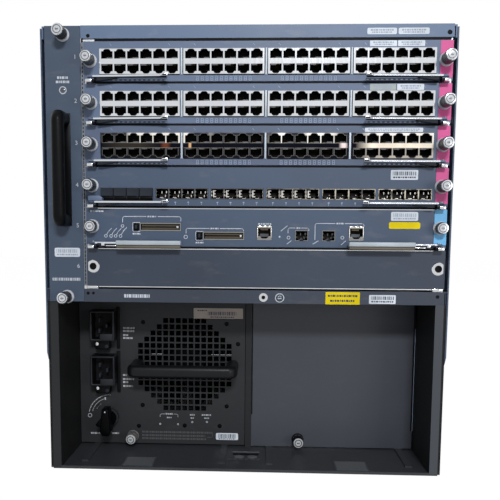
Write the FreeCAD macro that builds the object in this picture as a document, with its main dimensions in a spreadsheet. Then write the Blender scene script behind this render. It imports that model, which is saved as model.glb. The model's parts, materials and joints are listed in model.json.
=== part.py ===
import FreeCAD
import Part
import Sketcher
import math
import os

# Modular network switch chassis with six card slots, a fan tray and two power bays, in millimetres.
# While the pieces are drawn, the front face lies on y = 0, y runs into the chassis, x to the right, z up.
# Each piece is then shifted by the same amount, so that the origin is under the middle of the whole object.

DIMENSIONS = {
    # Chassis
    "height": 488.0,
    "depth": 460.0,
    "face_width": 434.0,
    "wall_width": 441.2,
    "overall_width": 444.5,
    "sheet": 1.6,
    "wall_setback": 3.0,
    "lip_height": 3.3,
    "runner_top": 3.5,
    "runner_width": 8.0,
    "runner_front": 20.0,
    "runner_back": 430.0,
    "latch_slot_left": -14.0,
    "latch_slot_right": 17.0,
    "latch_slot_front": 52.0,
    "latch_slot_back": 62.0,
    "strip_bottom": 474.5,
    "strip_return": 10.0,
    "shelf_top": 206.5,
    "shelf_bottom": 192.0,
    "shelf_return": 14.0,
    "tray_edge": -178.0,
    "post_inner": 207.9,
    "joggle": 4.6,
    "vent_plate_bottom": 126.0,
    "vent_plate_top": 485.5,
    "vent_plate_front": 2.0,
    "vent_plate_chamfer": 8.0,
    "vent_front": 44.0,
    "vent_low": 228.0,
    "vent_length": 104.0,
    "vent_width": 12.0,
    "vent_pitch_along": 128.0,
    "vent_pitch_up": 84.0,
    "bracket_hole_radius": 2.1,
    "bracket_hole_depth": 20.0,
    "bracket_hole_low": 222.0,
    "bracket_hole_spacing": 240.0,
    "exhaust_low": 40.0,
    "exhaust_length": 150.0,
    "exhaust_width": 8.0,
    "exhaust_pitch": 22.0,
    "strap_jack_x": 20.4,
    "strap_jack_z": 198.8,
    "strap_jack_ring": 4.8,
    "strap_jack_barrel": 3.4,
    "strap_jack_bore": 2.1,
    "strap_jack_bore_length": 12.0,
    "strap_jack_clearance": 0.2,
    # Card cage
    "slot_top": 471.5,
    "slot_pitch": 44.0,
    "slot_count": 6,
    "panel_height": 41.6,
    "panel_left": -175.0,
    "panel_right": 216.5,
    "panel_flange": 12.0,
    "rail_gap": 0.3,
    "rail_left": -163.0,
    "rail_right": 204.5,
    "cage_left": -177.9,
    "cage_right": 215.6,
    "cage_back": 412.0,
    "gasket_right": -175.4,
    "air_slot_inset": 30.0,
    "air_slot_low": 29.0,
    "air_slot_high": 10.0,
    "board_left": -162.0,
    "board_right": 203.0,
    "board_back": 404.0,
    "board_drop": 34.0,
    "board_thickness": 1.6,
    "guide_reach": 2.6,
    "guide_lip": 1.3,
    "guide_front": 12.0,
    "guide_back": 403.0,
    "backplane_thickness": 4.0,
    "connector_depth": 7.6,
    "connector_height": 12.0,
    "connector_width": 92.0,
    "connector_offset": 95.0,
    "filler_hole_radius": 3.4,
    # Captive screws and ejector levers
    "screw_offset": 188.6,
    "screw_drop": 20.0,
    "collar_radius": 6.7,
    "collar_length": 3.4,
    "knob_radius": 5.5,
    "knob_reach": 17.0,
    "lever_offset": 187.0,
    "lever_front_drop": 36.9,
    "lever_thickness": 2.0,
    "lever_boss_radius": 4.2,
    "lever_pin_radius": 1.7,
    "lever_pin_clearance": 0.06,
    "lever_pivot_y": -4.8,
    "lever_tip": 103.5,
    "lever_tip_reach": 14.6,
    "lever_tip_step": 2.0,
    "lever_tip_length": 7.0,
    "lever_tip_slope": 1.0,
    "lever_tip_thickness": 3.4,
    "lever_root_reach": 9.0,
    "lever_heel_gap": 0.6,
    "lever_heel_flat": 8.0,
    "lever_heel_length": 14.0,
    "lever_heel_reach": 3.6,
    "lever_grip_root": 160.0,
    "lever_grip_tip": 90.0,
    "lever_grip_height": 5.0,
    "lever_grip_rise": 1.6,
    "lever_grip_reach": 16.0,
    "lever_grip_back": 6.0,
    "lever_grip_slope": 2.6,
    # Copper jacks
    "gang_width": 86.4,
    "gang_height": 26.4,
    "gang_drop": 7.6,
    "gang_pitch": 90.2,
    "gang_depth": 34.0,
    "gang_proud": 0.5,
    "jack_pitch": 14.0,
    "jack_width": 11.8,
    "jack_height": 7.2,
    "jack_notch_width": 6.8,
    "jack_notch_height": 2.9,
    "jack_bar": 4.6,
    "jack_depth": 14.0,
    "window_clearance": 0.2,
    # Small pluggable cages
    "cage_group_width": 57.0,
    "cage_group_pitch": 60.1,
    "cage_height": 11.4,
    "cage_depth": 46.0,
    "cage_pitch": 14.2,
    "cage_mouth_width": 12.2,
    "cage_mouth_height": 9.4,
    "cage_mouth_depth": 40.0,
    "plug_face": 4.0,
    "plug_overlap": 0.7,
    "plug_overlap_low": 0.6,
    "plug_overlap_high": 1.6,
    # Control card
    "flash_width": 45.0,
    "flash_height": 8.8,
    "flash_depth": 42.0,
    "flash_mouth_width": 42.6,
    "flash_mouth_height": 5.2,
    "flash_one_left": -115.4,
    "flash_one_drop": 16.0,
    "flash_two_left": -46.2,
    "flash_two_drop": 25.2,
    "button_width": 6.0,
    "button_height": 8.0,
    "button_gap": 1.0,
    "button_proud": 3.0,
    "button_depth": 12.0,
    "console_left": 12.8,
    "network_left": 112.2,
    "socket_width": 15.8,
    "socket_height": 15.6,
    "socket_depth": 22.0,
    "socket_lip": 3.2,
    "uplink_one_left": 54.0,
    "uplink_two_left": 83.2,
    "uplink_width": 14.2,
    "uplink_height": 10.2,
    "uplink_wall": 1.1,
    "uplink_lip": 1.0,
    # Fan tray
    "tray_left": -217.0,
    "tray_right": -178.3,
    "tray_bottom": 192.3,
    "tray_top": 487.7,
    "tray_flange": 14.0,
    "tray_frame_left": -213.0,
    "tray_frame_bottom": 208.0,
    "tray_frame_top": 472.0,
    "tray_frame_back": 406.0,
    "tray_screw_x": -197.0,
    "tray_screw_low": 197.6,
    "tray_screw_spacing": 280.8,
    "fan_size": 172.0,
    "fan_bore": 82.0,
    "fan_depth": 30.0,
    "fan_centre_y": 104.0,
    "fan_pitch": 190.0,
    "fan_strut": 10.0,
    "fan_strut_depth": 3.0,
    "rotor_hub": 34.0,
    "rotor_tip": 79.0,
    "rotor_depth": 22.0,
    "blade_thickness": 1.6,
    "handle_x": -197.5,
    "handle_width": 13.0,
    "handle_low": 275.0,
    "handle_high": 397.0,
    "front_reach": 30.0,
    "handle_bar": 13.0,
    "handle_foot": 14.0,
    "handle_round": 12.0,
    # Power supply and bays
    "bay_depth": 84.0,
    "psu_left": -207.4,
    "psu_right": -0.6,
    "psu_bottom": 3.8,
    "psu_top": 190.0,
    "psu_back": 440.0,
    "psu_panel": 2.0,
    "divider_left": -0.1,
    "divider_right": 7.1,
    "cover_right": 206.6,
    "cover_flange": 16.0,
    "cover_screw_x": 65.7,
    "psu_screw_x": -141.5,
    "bay_screw_z": 13.2,
    "grille_x": -76.0,
    "grille_z": 105.2,
    "grille_pitch": 7.9,
    "grille_hole": 6.2,
    "psu_fan_bore": 60.0,
    "psu_fan_gap": 3.0,
    "psu_shroud_gap": 2.0,
    "psu_shroud_length": 32.0,
    "psu_rotor_tip": 56.0,
    "psu_rotor_hub": 24.0,
    "psu_handle_low": 97.0,
    "psu_handle_high": 112.0,
    "psu_handle_left": -141.0,
    "psu_handle_right": -9.0,
    "psu_handle_reach": 46.0,
    "inlet_left": -189.5,
    "inlet_right": -159.5,
    "inlet_high": 174.0,
    "inlet_height": 37.0,
    "inlet_pitch": 55.5,
    "inlet_reach": 22.0,
    "inlet_wall": 4.5,
    "inlet_pin_width": 2.0,
    "inlet_pin_height": 5.0,
    "inlet_pin_length": 15.0,
    "inlet_pin_across": 4.5,
    "inlet_pin_up": 6.5,
    "clamp_drop": 12.0,
    "clamp_reach": 12.0,
    "clamp_left": 4.0,
    "clamp_right": 8.0,
    "switch_x": -170.0,
    "switch_z": 38.0,
    "switch_plate": 11.0,
    "switch_plate_reach": 7.0,
    "switch_disc": 9.4,
    "switch_disc_reach": 14.0,
    "switch_wing_width": 13.0,
    "switch_wing_height": 34.0,
    "switch_wing_taper": 2.5,
    "switch_wing_shoulder": 5.0,
    "switch_reach": 31.0,
    "switch_gap": 0.4,
}

# Holes in a row, rows of that length, and the pitches between the two rows where there are two
GRILLE_ROWS = ((15, 7, 1), (13, 2, 8), (11, 2, 10), (9, 2, 12), (7, 2, 14))
RUNNER_LEFT_EDGES = (-190.0, -30.0, 26.0, 186.0)
PSU_EXHAUST_SLOTS = 6
BAY_EXHAUST_SLOTS = 5
COPPER_CARDS = (1, 2, 3)
PLUGGABLE_CARD = 4
CONTROL_CARD = 5
GANGS = 4
JACKS_IN_ROW = 6
JACK_ROWS = 2
CAGE_GROUPS = 6
CAGES_IN_GROUP = 4
VENT_COLUMNS = 3
VENT_ROWS = 3
FANS = 2
BLADES = 7
BLADE_SLANT = 0.5
BLADE_REACH = 0.9
BLADE_ROOT = 0.85
SCREW_SIDES = 8
PIN_SIDES = 6
DISC_SIDES = 18
BORE_SIDES = 18


class Measure:
    """A length that keeps the sheet expression it is worked out from."""

    def __init__(self, value, text):
        self.value = value
        self.text = text

    def __add__(self, other):
        other = measure(other)
        return Measure(self.value + other.value, f"({self.text} + {other.text})")

    def __sub__(self, other):
        other = measure(other)
        return Measure(self.value - other.value, f"({self.text} - {other.text})")

    def __mul__(self, other):
        other = measure(other)
        return Measure(self.value * other.value, f"({self.text} * {other.text})")

    def __truediv__(self, other):
        other = measure(other)
        return Measure(self.value / other.value, f"({self.text} / {other.text})")

    def __neg__(self):
        return Measure(-self.value, f"(-{self.text})")

    def __radd__(self, other):
        return measure(other) + self

    def __rsub__(self, other):
        return measure(other) - self

    def __rmul__(self, other):
        return measure(other) * self


def measure(value):
    """A plain number as a Measure."""
    return value if isinstance(value, Measure) else Measure(float(value), repr(float(value)))


class Sheet:
    """The driving dimensions, each one read as a Measure bound to its cell."""

    def __init__(self, document):
        cells = document.addObject("Spreadsheet::Sheet", "Sizes")
        for row, (name, value) in enumerate(DIMENSIONS.items(), start=1):
            cells.set(f"A{row}", name)
            cells.set(f"B{row}", str(value))
            cells.setAlias(f"B{row}", name)

    def __getattr__(self, name):
        return Measure(DIMENSIONS[name], f"Sizes.{name}")


doc = FreeCAD.newDocument("switch_chassis")
d = Sheet(doc)
doc.recompute()

pieces = []
whole_shift = -(d.depth - d.front_reach) / 2
panel_centre = (d.panel_left + d.panel_right) / 2


def bind(owner, path, value):
    """Ties a property of an object to the sheet."""
    owner.setExpression(path, measure(value).text)


def piece(name, x=0, y=0, z=0):
    """A new body for one sub-part, placed in the frame of the whole object."""
    body = doc.addObject("PartDesign::Body", name)
    body.Label = name
    bind(body, "Placement.Base.x", x)
    bind(body, "Placement.Base.y", whole_shift + y)
    bind(body, "Placement.Base.z", z)
    pieces.append(body)
    return body


def origin_part(body, role):
    """A plane or axis of the body's own origin."""
    return next(part for part in body.Origin.OriginFeatures if part.Role == role)


def rectangle(left, right, low, high):
    return [(left, low), (right, low), (right, high), (left, high)]


def square(across, up, half):
    return rectangle(across - half, across + half, up - half, up + half)


def facets(across, up, radius, sides):
    """A regular polygon, for round forms that need no exact surface."""
    step = 2 * math.pi / sides
    angles = [step * (index + 0.5) for index in range(sides)]
    return [(across + radius * math.cos(angle), up + radius * math.sin(angle)) for angle in angles]


class Circle:
    """A round outline given by its centre and radius."""

    def __init__(self, across, up, radius):
        self.across = measure(across)
        self.up = measure(up)
        self.radius = measure(radius)


def constrain(sketch, constraint, value):
    """Adds a dimension to a sketch and ties it to the sheet."""
    index = sketch.addConstraint(constraint)
    bind(sketch, f"Constraints[{index}]", value)


def draw_circle(sketch, circle):
    centre = FreeCAD.Vector(circle.across.value, circle.up.value, 0)
    curve = Part.Circle(centre, FreeCAD.Vector(0, 0, 1), circle.radius.value)
    index = sketch.addGeometry(curve)
    constrain(sketch, Sketcher.Constraint("Radius", index, circle.radius.value), circle.radius)
    place_point(sketch, index, 3, circle.across, circle.up)


def place_point(sketch, geometry, end, across, up):
    """Dimensions one point of a sketch from the sketch's origin."""
    constrain(sketch, Sketcher.Constraint("DistanceX", -1, 1, geometry, end, across.value), across)
    constrain(sketch, Sketcher.Constraint("DistanceY", -1, 1, geometry, end, up.value), up)


def draw_polygon(sketch, outline):
    points = [(measure(across), measure(up)) for across, up in outline]
    corners = [FreeCAD.Vector(across.value, up.value, 0) for across, up in points]
    following = corners[1:] + corners[:1]
    first = sketch.GeometryCount
    sketch.addGeometry([Part.LineSegment(start, end) for start, end in zip(corners, following)])
    for index, (across, up) in enumerate(points):
        after = first + (index + 1) % len(points)
        sketch.addConstraint(Sketcher.Constraint("Coincident", first + index, 2, after, 1))
        place_point(sketch, first + index, 1, across, up)


def draw(sketch, outline):
    if isinstance(outline, Circle):
        draw_circle(sketch, outline)
    else:
        draw_polygon(sketch, outline)


def sketch_on(body, role, outlines, x=0, y=0, z=0):
    """A sketch on one of the body's own planes, moved by x and y in that plane and z along its normal."""
    sketch = body.newObject("Sketcher::SketchObject", "outline")
    sketch.AttachmentSupport = [(origin_part(body, role), "")]
    sketch.MapMode = "FlatFace"
    bind(sketch, "AttachmentOffset.Base.x", x)
    bind(sketch, "AttachmentOffset.Base.y", y)
    bind(sketch, "AttachmentOffset.Base.z", z)
    for outline in outlines:
        draw(sketch, outline)
    return sketch


def add(body, axis, start, end, *outlines):
    """Pads outlines along an axis, from one level to the other."""
    role = {"x": "YZ_Plane", "y": "XZ_Plane", "z": "XY_Plane"}[axis]
    level = -measure(end) if axis == "y" else start
    pad = body.newObject("PartDesign::Pad", "pad")
    pad.Profile = sketch_on(body, role, outlines, z=level)
    bind(pad, "Length", measure(end) - start)
    body.Tip = pad
    return pad


def cut(body, axis, start, end, *outlines):
    """Pockets outlines along an axis, from one level to the other."""
    role = {"x": "YZ_Plane", "y": "XZ_Plane", "z": "XY_Plane"}[axis]
    level = -measure(start) if axis == "y" else end
    pocket = body.newObject("PartDesign::Pocket", "pocket")
    pocket.Profile = sketch_on(body, role, outlines, z=level)
    bind(pocket, "Length", measure(end) - start)
    body.Tip = pocket
    return pocket


def repeat(body, feature, axis, count, pitch, second=None):
    """A row of copies of a feature, or a grid where a second axis, count and pitch are given."""
    pattern = body.newObject("PartDesign::LinearPattern", "row")
    if feature is None:
        pattern.TransformMode = "Whole shape"
    else:
        pattern.Originals = [feature]
    pattern.Direction = (origin_part(body, axis + "_Axis"), [""])
    pattern.Occurrences = count
    bind(pattern, "Length", measure(pitch) * (count - 1))
    if second:
        other_axis, other_count, other_pitch = second
        pattern.Direction2 = (origin_part(body, other_axis + "_Axis"), [""])
        pattern.Occurrences2 = other_count
        bind(pattern, "Length2", measure(other_pitch) * (other_count - 1))
    body.Tip = pattern
    return pattern


def round_edges(body, chosen, radius):
    """Fillets the edges of the body's last feature that a test picks out."""
    doc.recompute()
    base = body.Tip
    names = [f"Edge{index}" for index, edge in enumerate(base.Shape.Edges, start=1) if chosen(edge)]
    fillet = body.newObject("PartDesign::Fillet", "rounded")
    fillet.Base = (base, names)
    bind(fillet, "Radius", radius)
    body.Tip = fillet
    return fillet


def runs_along(edge, axis):
    """Whether a straight edge is parallel to an axis."""
    return edge.Curve.TypeId == "Part::GeomLine" and abs(edge.Curve.Direction.dot(axis)) > 0.999


# Chassis


def base_pan():
    body = piece("base_pan")
    wall = d.wall_width / 2
    face = d.face_width / 2
    floor = [
        (-wall, d.wall_setback),
        (-face, d.wall_setback),
        (-face, 0),
        (face, 0),
        (face, d.wall_setback),
        (wall, d.wall_setback),
        (wall, d.depth),
        (-wall, d.depth),
    ]
    add(body, "z", 0, d.sheet, floor)
    add(body, "x", -d.post_inner, d.post_inner, rectangle(0, d.sheet, d.sheet, d.lip_height))
    runners = [
        rectangle(left, left + d.runner_width, d.runner_front, d.runner_back)
        for left in RUNNER_LEFT_EDGES
    ]
    add(body, "z", d.sheet, d.runner_top, *runners)
    latch_slot = rectangle(
        d.latch_slot_left, d.latch_slot_right, d.latch_slot_front, d.latch_slot_back
    )
    cut(body, "z", 0, d.sheet, latch_slot)


def top_panel():
    body = piece("top_panel")
    wall = d.wall_width / 2
    add(body, "z", d.height - d.sheet, d.height, rectangle(-wall, wall, d.wall_setback, d.depth))
    strip = [
        (0, d.strip_bottom),
        (d.strip_return, d.strip_bottom),
        (d.strip_return, d.strip_bottom + d.sheet),
        (d.sheet, d.strip_bottom + d.sheet),
        (d.sheet, d.height - d.sheet),
        (d.wall_setback, d.height - d.sheet),
        (d.wall_setback, d.height),
        (0, d.height),
    ]
    add(body, "x", d.tray_edge, d.face_width / 2, strip)
    flange = rectangle(d.wall_setback, d.depth, d.strip_bottom, d.height - d.sheet)
    add(body, "x", -wall, -wall + d.sheet, flange)
    add(body, "x", wall - d.sheet, wall, flange)


def side_wall(name, side):
    """A double wall folded from one sheet, with the front post and the liner of the power bay."""
    body = piece(name)
    outer = d.wall_width / 2
    face = d.face_width / 2
    back = d.depth - d.sheet
    fold = [
        (outer, back),
        (outer, d.wall_setback),
        (face, d.wall_setback),
        (face, 0),
        (d.post_inner, 0),
        (d.post_inner, back),
        (d.post_inner + d.sheet, back),
        (d.post_inner + d.sheet, d.sheet),
        (face - d.sheet, d.sheet),
        (face - d.sheet, d.joggle),
        (outer - d.sheet, d.joggle),
        (outer - d.sheet, back),
    ]
    add(body, "z", d.sheet, d.shelf_bottom, [(side * across, along) for across, along in fold])


def side_vent_plates():
    body = piece("side_vent_plates")
    inner = d.wall_width / 2
    outer = d.overall_width / 2
    section = [
        (inner, d.vent_plate_bottom),
        (outer, d.vent_plate_bottom + d.vent_plate_chamfer),
        (outer, d.vent_plate_top),
        (inner, d.vent_plate_top),
    ]
    mirrored = [(-across, up) for across, up in section]
    add(body, "y", d.vent_plate_front, d.depth - d.sheet, section, mirrored)
    slot = rectangle(
        d.vent_front, d.vent_front + d.vent_length, d.vent_low, d.vent_low + d.vent_width
    )
    slots = cut(body, "x", -outer, outer, slot)
    repeat(body, slots, "Y", VENT_COLUMNS, d.vent_pitch_along, ("Z", VENT_ROWS, d.vent_pitch_up))
    hole = Circle(d.bracket_hole_depth, d.bracket_hole_low, d.bracket_hole_radius)
    holes = cut(body, "x", -outer, outer, hole)
    repeat(body, holes, "Z", 2, d.bracket_hole_spacing)


def exhaust_slot(low):
    """An exhaust slot behind the power supply, in a view along the chassis."""
    left = (d.psu_left + d.psu_right) / 2 - d.exhaust_length / 2
    return rectangle(left, left + d.exhaust_length, low, low + d.exhaust_width)


def rear_panel():
    body = piece("rear_panel")
    half = d.wall_width / 2 - d.sheet
    add(body, "y", d.depth - d.sheet, d.depth, rectangle(-half, half, d.sheet, d.height - d.sheet))
    slot = cut(body, "y", d.depth - d.sheet, d.depth, exhaust_slot(d.exhaust_low))
    between_bays = -(d.psu_left + d.psu_right)
    repeat(body, slot, "X", 2, between_bays, ("Z", BAY_EXHAUST_SLOTS, d.exhaust_pitch))


def mid_shelf():
    body = piece("mid_shelf")
    half = d.wall_width / 2
    face = d.face_width / 2
    back = d.depth - d.sheet
    deck = [
        (-half, d.wall_setback),
        (d.tray_edge, d.wall_setback),
        (d.tray_edge, 0),
        (face, 0),
        (face, d.wall_setback),
        (half, d.wall_setback),
        (half, back),
        (-half, back),
    ]
    add(body, "z", d.shelf_top - d.sheet, d.shelf_top, deck)
    flange = [
        (0, d.shelf_bottom),
        (d.shelf_return, d.shelf_bottom),
        (d.shelf_return, d.shelf_bottom + d.sheet),
        (d.sheet, d.shelf_bottom + d.sheet),
        (d.sheet, d.shelf_top - d.sheet),
        (0, d.shelf_top - d.sheet),
    ]
    add(body, "x", d.tray_edge, face, flange)
    side = rectangle(d.joggle, back, d.shelf_bottom, d.shelf_top - d.sheet)
    add(body, "x", -half, -half + d.sheet, side)
    add(body, "x", half - d.sheet, half, side)
    hole_radius = d.strap_jack_barrel + d.strap_jack_clearance
    cut(body, "y", 0, d.sheet, facets(d.strap_jack_x, d.strap_jack_z, hole_radius, PIN_SIDES))


def psu_divider():
    body = piece("psu_divider")
    middle = (d.divider_left + d.divider_right) / 2
    tee = [
        (d.divider_left, d.bay_depth - d.sheet),
        (d.divider_right, d.bay_depth - d.sheet),
        (d.divider_right, d.bay_depth),
        (middle + d.sheet / 2, d.bay_depth),
        (middle + d.sheet / 2, d.depth - d.sheet),
        (middle - d.sheet / 2, d.depth - d.sheet),
        (middle - d.sheet / 2, d.bay_depth),
        (d.divider_left, d.bay_depth),
    ]
    add(body, "z", d.sheet, d.shelf_top - d.sheet, tee)


def cage_walls():
    """The inner walls of the card cage; their front folds are the rails behind the card panels."""
    body = piece("cage_walls")
    rail = d.sheet + d.rail_gap
    left = [
        (d.cage_left, 0),
        (d.gasket_right, 0),
        (d.gasket_right, rail),
        (d.rail_left, rail),
        (d.rail_left, rail + d.sheet),
        (d.cage_left + d.sheet, rail + d.sheet),
        (d.cage_left + d.sheet, d.cage_back),
        (d.cage_left, d.cage_back),
    ]
    right = [
        (d.rail_right, rail),
        (d.cage_right, rail),
        (d.cage_right, d.cage_back),
        (d.cage_right - d.sheet, d.cage_back),
        (d.cage_right - d.sheet, rail + d.sheet),
        (d.rail_right, rail + d.sheet),
    ]
    add(body, "z", d.shelf_top, d.strip_bottom, left, right)
    low = d.slot_top - d.slot_pitch * (d.slot_count - 1)
    back = d.cage_back - d.air_slot_inset
    air_slot = rectangle(d.air_slot_inset, back, low - d.air_slot_low, low - d.air_slot_high)
    slots = cut(body, "x", d.cage_left, d.cage_right, air_slot)
    repeat(body, slots, "Z", DIMENSIONS["slot_count"], d.slot_pitch)


def card_guides():
    body = piece("card_guides")
    board_top = d.slot_top - d.board_drop - d.slot_pitch * (d.slot_count - 1)
    board_bottom = board_top - d.board_thickness

    def channel(wall, edge, mouth):
        """A C section that stands on the cage wall and holds the board's edge."""
        return [
            (wall, board_bottom - d.guide_lip - d.rail_gap),
            (mouth, board_bottom - d.guide_lip - d.rail_gap),
            (mouth, board_bottom - d.rail_gap),
            (edge, board_bottom - d.rail_gap),
            (edge, board_top + d.rail_gap),
            (mouth, board_top + d.rail_gap),
            (mouth, board_top + d.guide_lip + d.rail_gap),
            (wall, board_top + d.guide_lip + d.rail_gap),
        ]

    left = channel(d.cage_left + d.sheet, d.board_left - d.rail_gap, d.board_left + d.guide_reach)
    right = channel(d.cage_right - d.sheet, d.board_right + d.rail_gap, d.board_right - d.guide_reach)
    rows = add(body, "y", d.guide_front, d.guide_back, left, right)
    repeat(body, rows, "Z", DIMENSIONS["slot_count"], d.slot_pitch)


def connector_pair(z):
    """Outlines of the two connectors of a slot, in a view along the chassis."""
    middle = (d.board_left + d.board_right) / 2
    half = d.connector_width / 2
    return [
        rectangle(middle + side * d.connector_offset - half, middle + side * d.connector_offset + half,
                  z, z + d.connector_height)
        for side in (-1, 1)
    ]


def backplane():
    body = piece("backplane")
    plate = rectangle(d.cage_left + d.sheet, d.cage_right - d.sheet, d.shelf_top, d.strip_bottom)
    add(body, "y", d.cage_back, d.cage_back + d.backplane_thickness, plate)
    board_top = d.slot_top - d.board_drop - d.slot_pitch * (d.slot_count - 1)
    row = add(body, "y", d.cage_back - d.connector_depth, d.cage_back, *connector_pair(board_top))
    repeat(body, row, "Z", DIMENSIONS["slot_count"], d.slot_pitch)


def esd_jack():
    """A flanged socket with a round bore."""
    body = piece("esd_jack")
    x = d.strap_jack_x
    z = d.strap_jack_z
    back = d.strap_jack_bore_length
    add(body, "y", -d.sheet, 0, facets(x, z, d.strap_jack_ring, DISC_SIDES))
    add(body, "y", 0, back, facets(x, z, d.strap_jack_barrel, PIN_SIDES))
    cut(body, "y", -d.sheet, back, Circle(x, z, d.strap_jack_bore))


def slot_panel(body, thickness):
    """A slot's front panel: a sheet folded back along its upper and lower edges between the rails."""
    top = d.slot_top
    bottom = d.slot_top - d.panel_height
    add(body, "y", 0, thickness, rectangle(d.panel_left, d.panel_right, bottom, top))
    upper = rectangle(0, d.panel_flange, top - d.sheet, top)
    lower = rectangle(0, d.panel_flange, bottom, bottom + d.sheet)
    add(body, "x", d.rail_left + d.rail_gap, d.rail_right - d.rail_gap, upper, lower)


def filler_panel():
    body = piece("filler_panel", z=-d.slot_pitch * (d.slot_count - 1))
    thickness = d.sheet + d.rail_gap
    slot_panel(body, thickness)
    z = d.slot_top - d.screw_drop
    places = [panel_centre - d.screw_offset, panel_centre + d.screw_offset]
    cut(body, "y", 0, thickness, *[facets(x, z, d.filler_hole_radius, SCREW_SIDES) for x in places])


def captive_screws(body, seat, *centres):
    """Captive screws with a collar and a knob, on a panel whose front is at seat."""
    collar_front = seat - d.collar_length
    collars = [facets(x, z, d.collar_radius, SCREW_SIDES) for x, z in centres]
    knobs = [facets(x, z, d.knob_radius, SCREW_SIDES) for x, z in centres]
    add(body, "y", collar_front, seat, *collars)
    add(body, "y", seat - d.knob_reach, collar_front, *knobs)


def psu_blank_cover():
    body = piece("psu_blank_cover")
    front = d.bay_depth - d.sheet
    left = d.divider_right + d.rail_gap
    back = d.bay_depth + d.cover_flange
    channel = [
        (left, front),
        (d.cover_right, front),
        (d.cover_right, back),
        (d.cover_right - d.sheet, back),
        (d.cover_right - d.sheet, d.bay_depth),
        (left + d.sheet, d.bay_depth),
        (left + d.sheet, back),
        (left, back),
    ]
    add(body, "z", d.runner_top, d.shelf_bottom - d.sheet, channel)
    captive_screws(body, front, (d.cover_screw_x, d.bay_screw_z))


# Fan tray


def fan_tray_panel():
    body = piece("fan_tray_panel")
    face = rectangle(d.tray_left, d.tray_right, d.tray_bottom, d.tray_top)
    add(body, "y", 0, d.sheet, face)
    flange = rectangle(d.sheet, d.tray_flange, d.tray_frame_bottom, d.tray_frame_top)
    add(body, "x", d.tray_left, d.tray_left + d.sheet, flange)


def fan_centres():
    middle = (d.tray_frame_bottom + d.tray_frame_top) / 2
    return [(d.fan_centre_y + d.fan_pitch * index, middle) for index in range(FANS)]


def fan_tray_frame():
    body = piece("fan_tray_frame")
    web = d.tray_right - d.sheet
    channel = [
        (d.tray_frame_left, d.tray_frame_bottom),
        (d.tray_right, d.tray_frame_bottom),
        (d.tray_right, d.tray_frame_top),
        (d.tray_frame_left, d.tray_frame_top),
        (d.tray_frame_left, d.tray_frame_top - d.sheet),
        (web, d.tray_frame_top - d.sheet),
        (web, d.tray_frame_bottom + d.sheet),
        (d.tray_frame_left, d.tray_frame_bottom + d.sheet),
    ]
    add(body, "y", d.sheet, d.tray_frame_back, channel)
    openings = [facets(along, up, d.fan_bore, BORE_SIDES) for along, up in fan_centres()]
    cut(body, "x", web, d.tray_right, *openings)


def fan_housings():
    """Square fan housings, each with a bore and a strut that carries its motor."""
    body = piece("fan_housings")
    right = d.tray_right - d.sheet
    left = right - d.fan_depth
    half = d.fan_size / 2
    (along, up), _ = fan_centres()
    add(body, "x", left, right, square(along, up, half), facets(along, up, d.fan_bore, BORE_SIDES))
    strut = rectangle(along - d.fan_strut / 2, along + d.fan_strut / 2, up - half, up + half)
    add(body, "x", right - d.fan_strut_depth, right, strut)
    repeat(body, None, "Y", FANS, d.fan_pitch)


def fan_rotor(name, x, y, z, hub, tip, facing_front):
    """A hub with slanted blades, drawn about the x axis and turned to y where the fan faces the front."""
    body = piece(name, x, y, z)
    if facing_front:
        body.Placement.Rotation = FreeCAD.Rotation(FreeCAD.Vector(0, 0, 1), 90)
    half = d.rotor_depth / 2
    add(body, "x", -half, half, facets(measure(0), measure(0), hub, BLADES))
    reach = half * BLADE_REACH
    slant = d.rotor_depth * BLADE_SLANT
    section = [
        (-reach, -slant),
        (-reach, d.blade_thickness - slant),
        (reach, slant + d.blade_thickness),
        (reach, slant),
    ]
    blade = add(body, "z", hub * BLADE_ROOT, tip, section)
    blades = body.newObject("PartDesign::PolarPattern", "blades")
    blades.Originals = [blade]
    blades.Axis = (origin_part(body, "X_Axis"), [""])
    blades.Angle = 360
    blades.Occurrences = BLADES
    body.Tip = blades


def fan_rotors():
    x = d.tray_right - d.sheet - d.fan_strut_depth - d.rail_gap - d.rotor_depth / 2
    for number, (along, up) in enumerate(fan_centres(), start=1):
        fan_rotor(f"fan_rotor_{number}", x, along, up, d.rotor_hub, d.rotor_tip, False)


def bow_outline(low, high, front, bar, foot, seat):
    """Side view of a bow handle: low and high ends, a bar at the front and two feet on the panel."""
    return [
        (low, seat),
        (low, front),
        (high, front),
        (high, seat),
        (high - foot, seat),
        (high - foot, front + bar),
        (low + foot, front + bar),
        (low + foot, seat),
    ]


def fan_tray_handle():
    body = piece("fan_tray_handle")
    bow = bow_outline(d.handle_low, d.handle_high, -d.front_reach, d.handle_bar, d.handle_foot, 0)
    outline = [(along, up) for up, along in bow]
    add(body, "x", d.handle_x - d.handle_width / 2, d.handle_x + d.handle_width / 2, outline)
    across = FreeCAD.Vector(1, 0, 0)

    def front_corner(edge):
        return runs_along(edge, across) and edge.CenterOfMass.y < -DIMENSIONS["front_reach"] + 1

    round_edges(body, front_corner, d.handle_round)


def fan_tray_screws():
    body = piece("fan_tray_screws")
    low = (d.tray_screw_x, d.tray_screw_low)
    high = (d.tray_screw_x, d.tray_screw_low + d.tray_screw_spacing)
    captive_screws(body, measure(0), low, high)


# Cards


def card_drop(card):
    return -d.slot_pitch * (card - 1)


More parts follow.
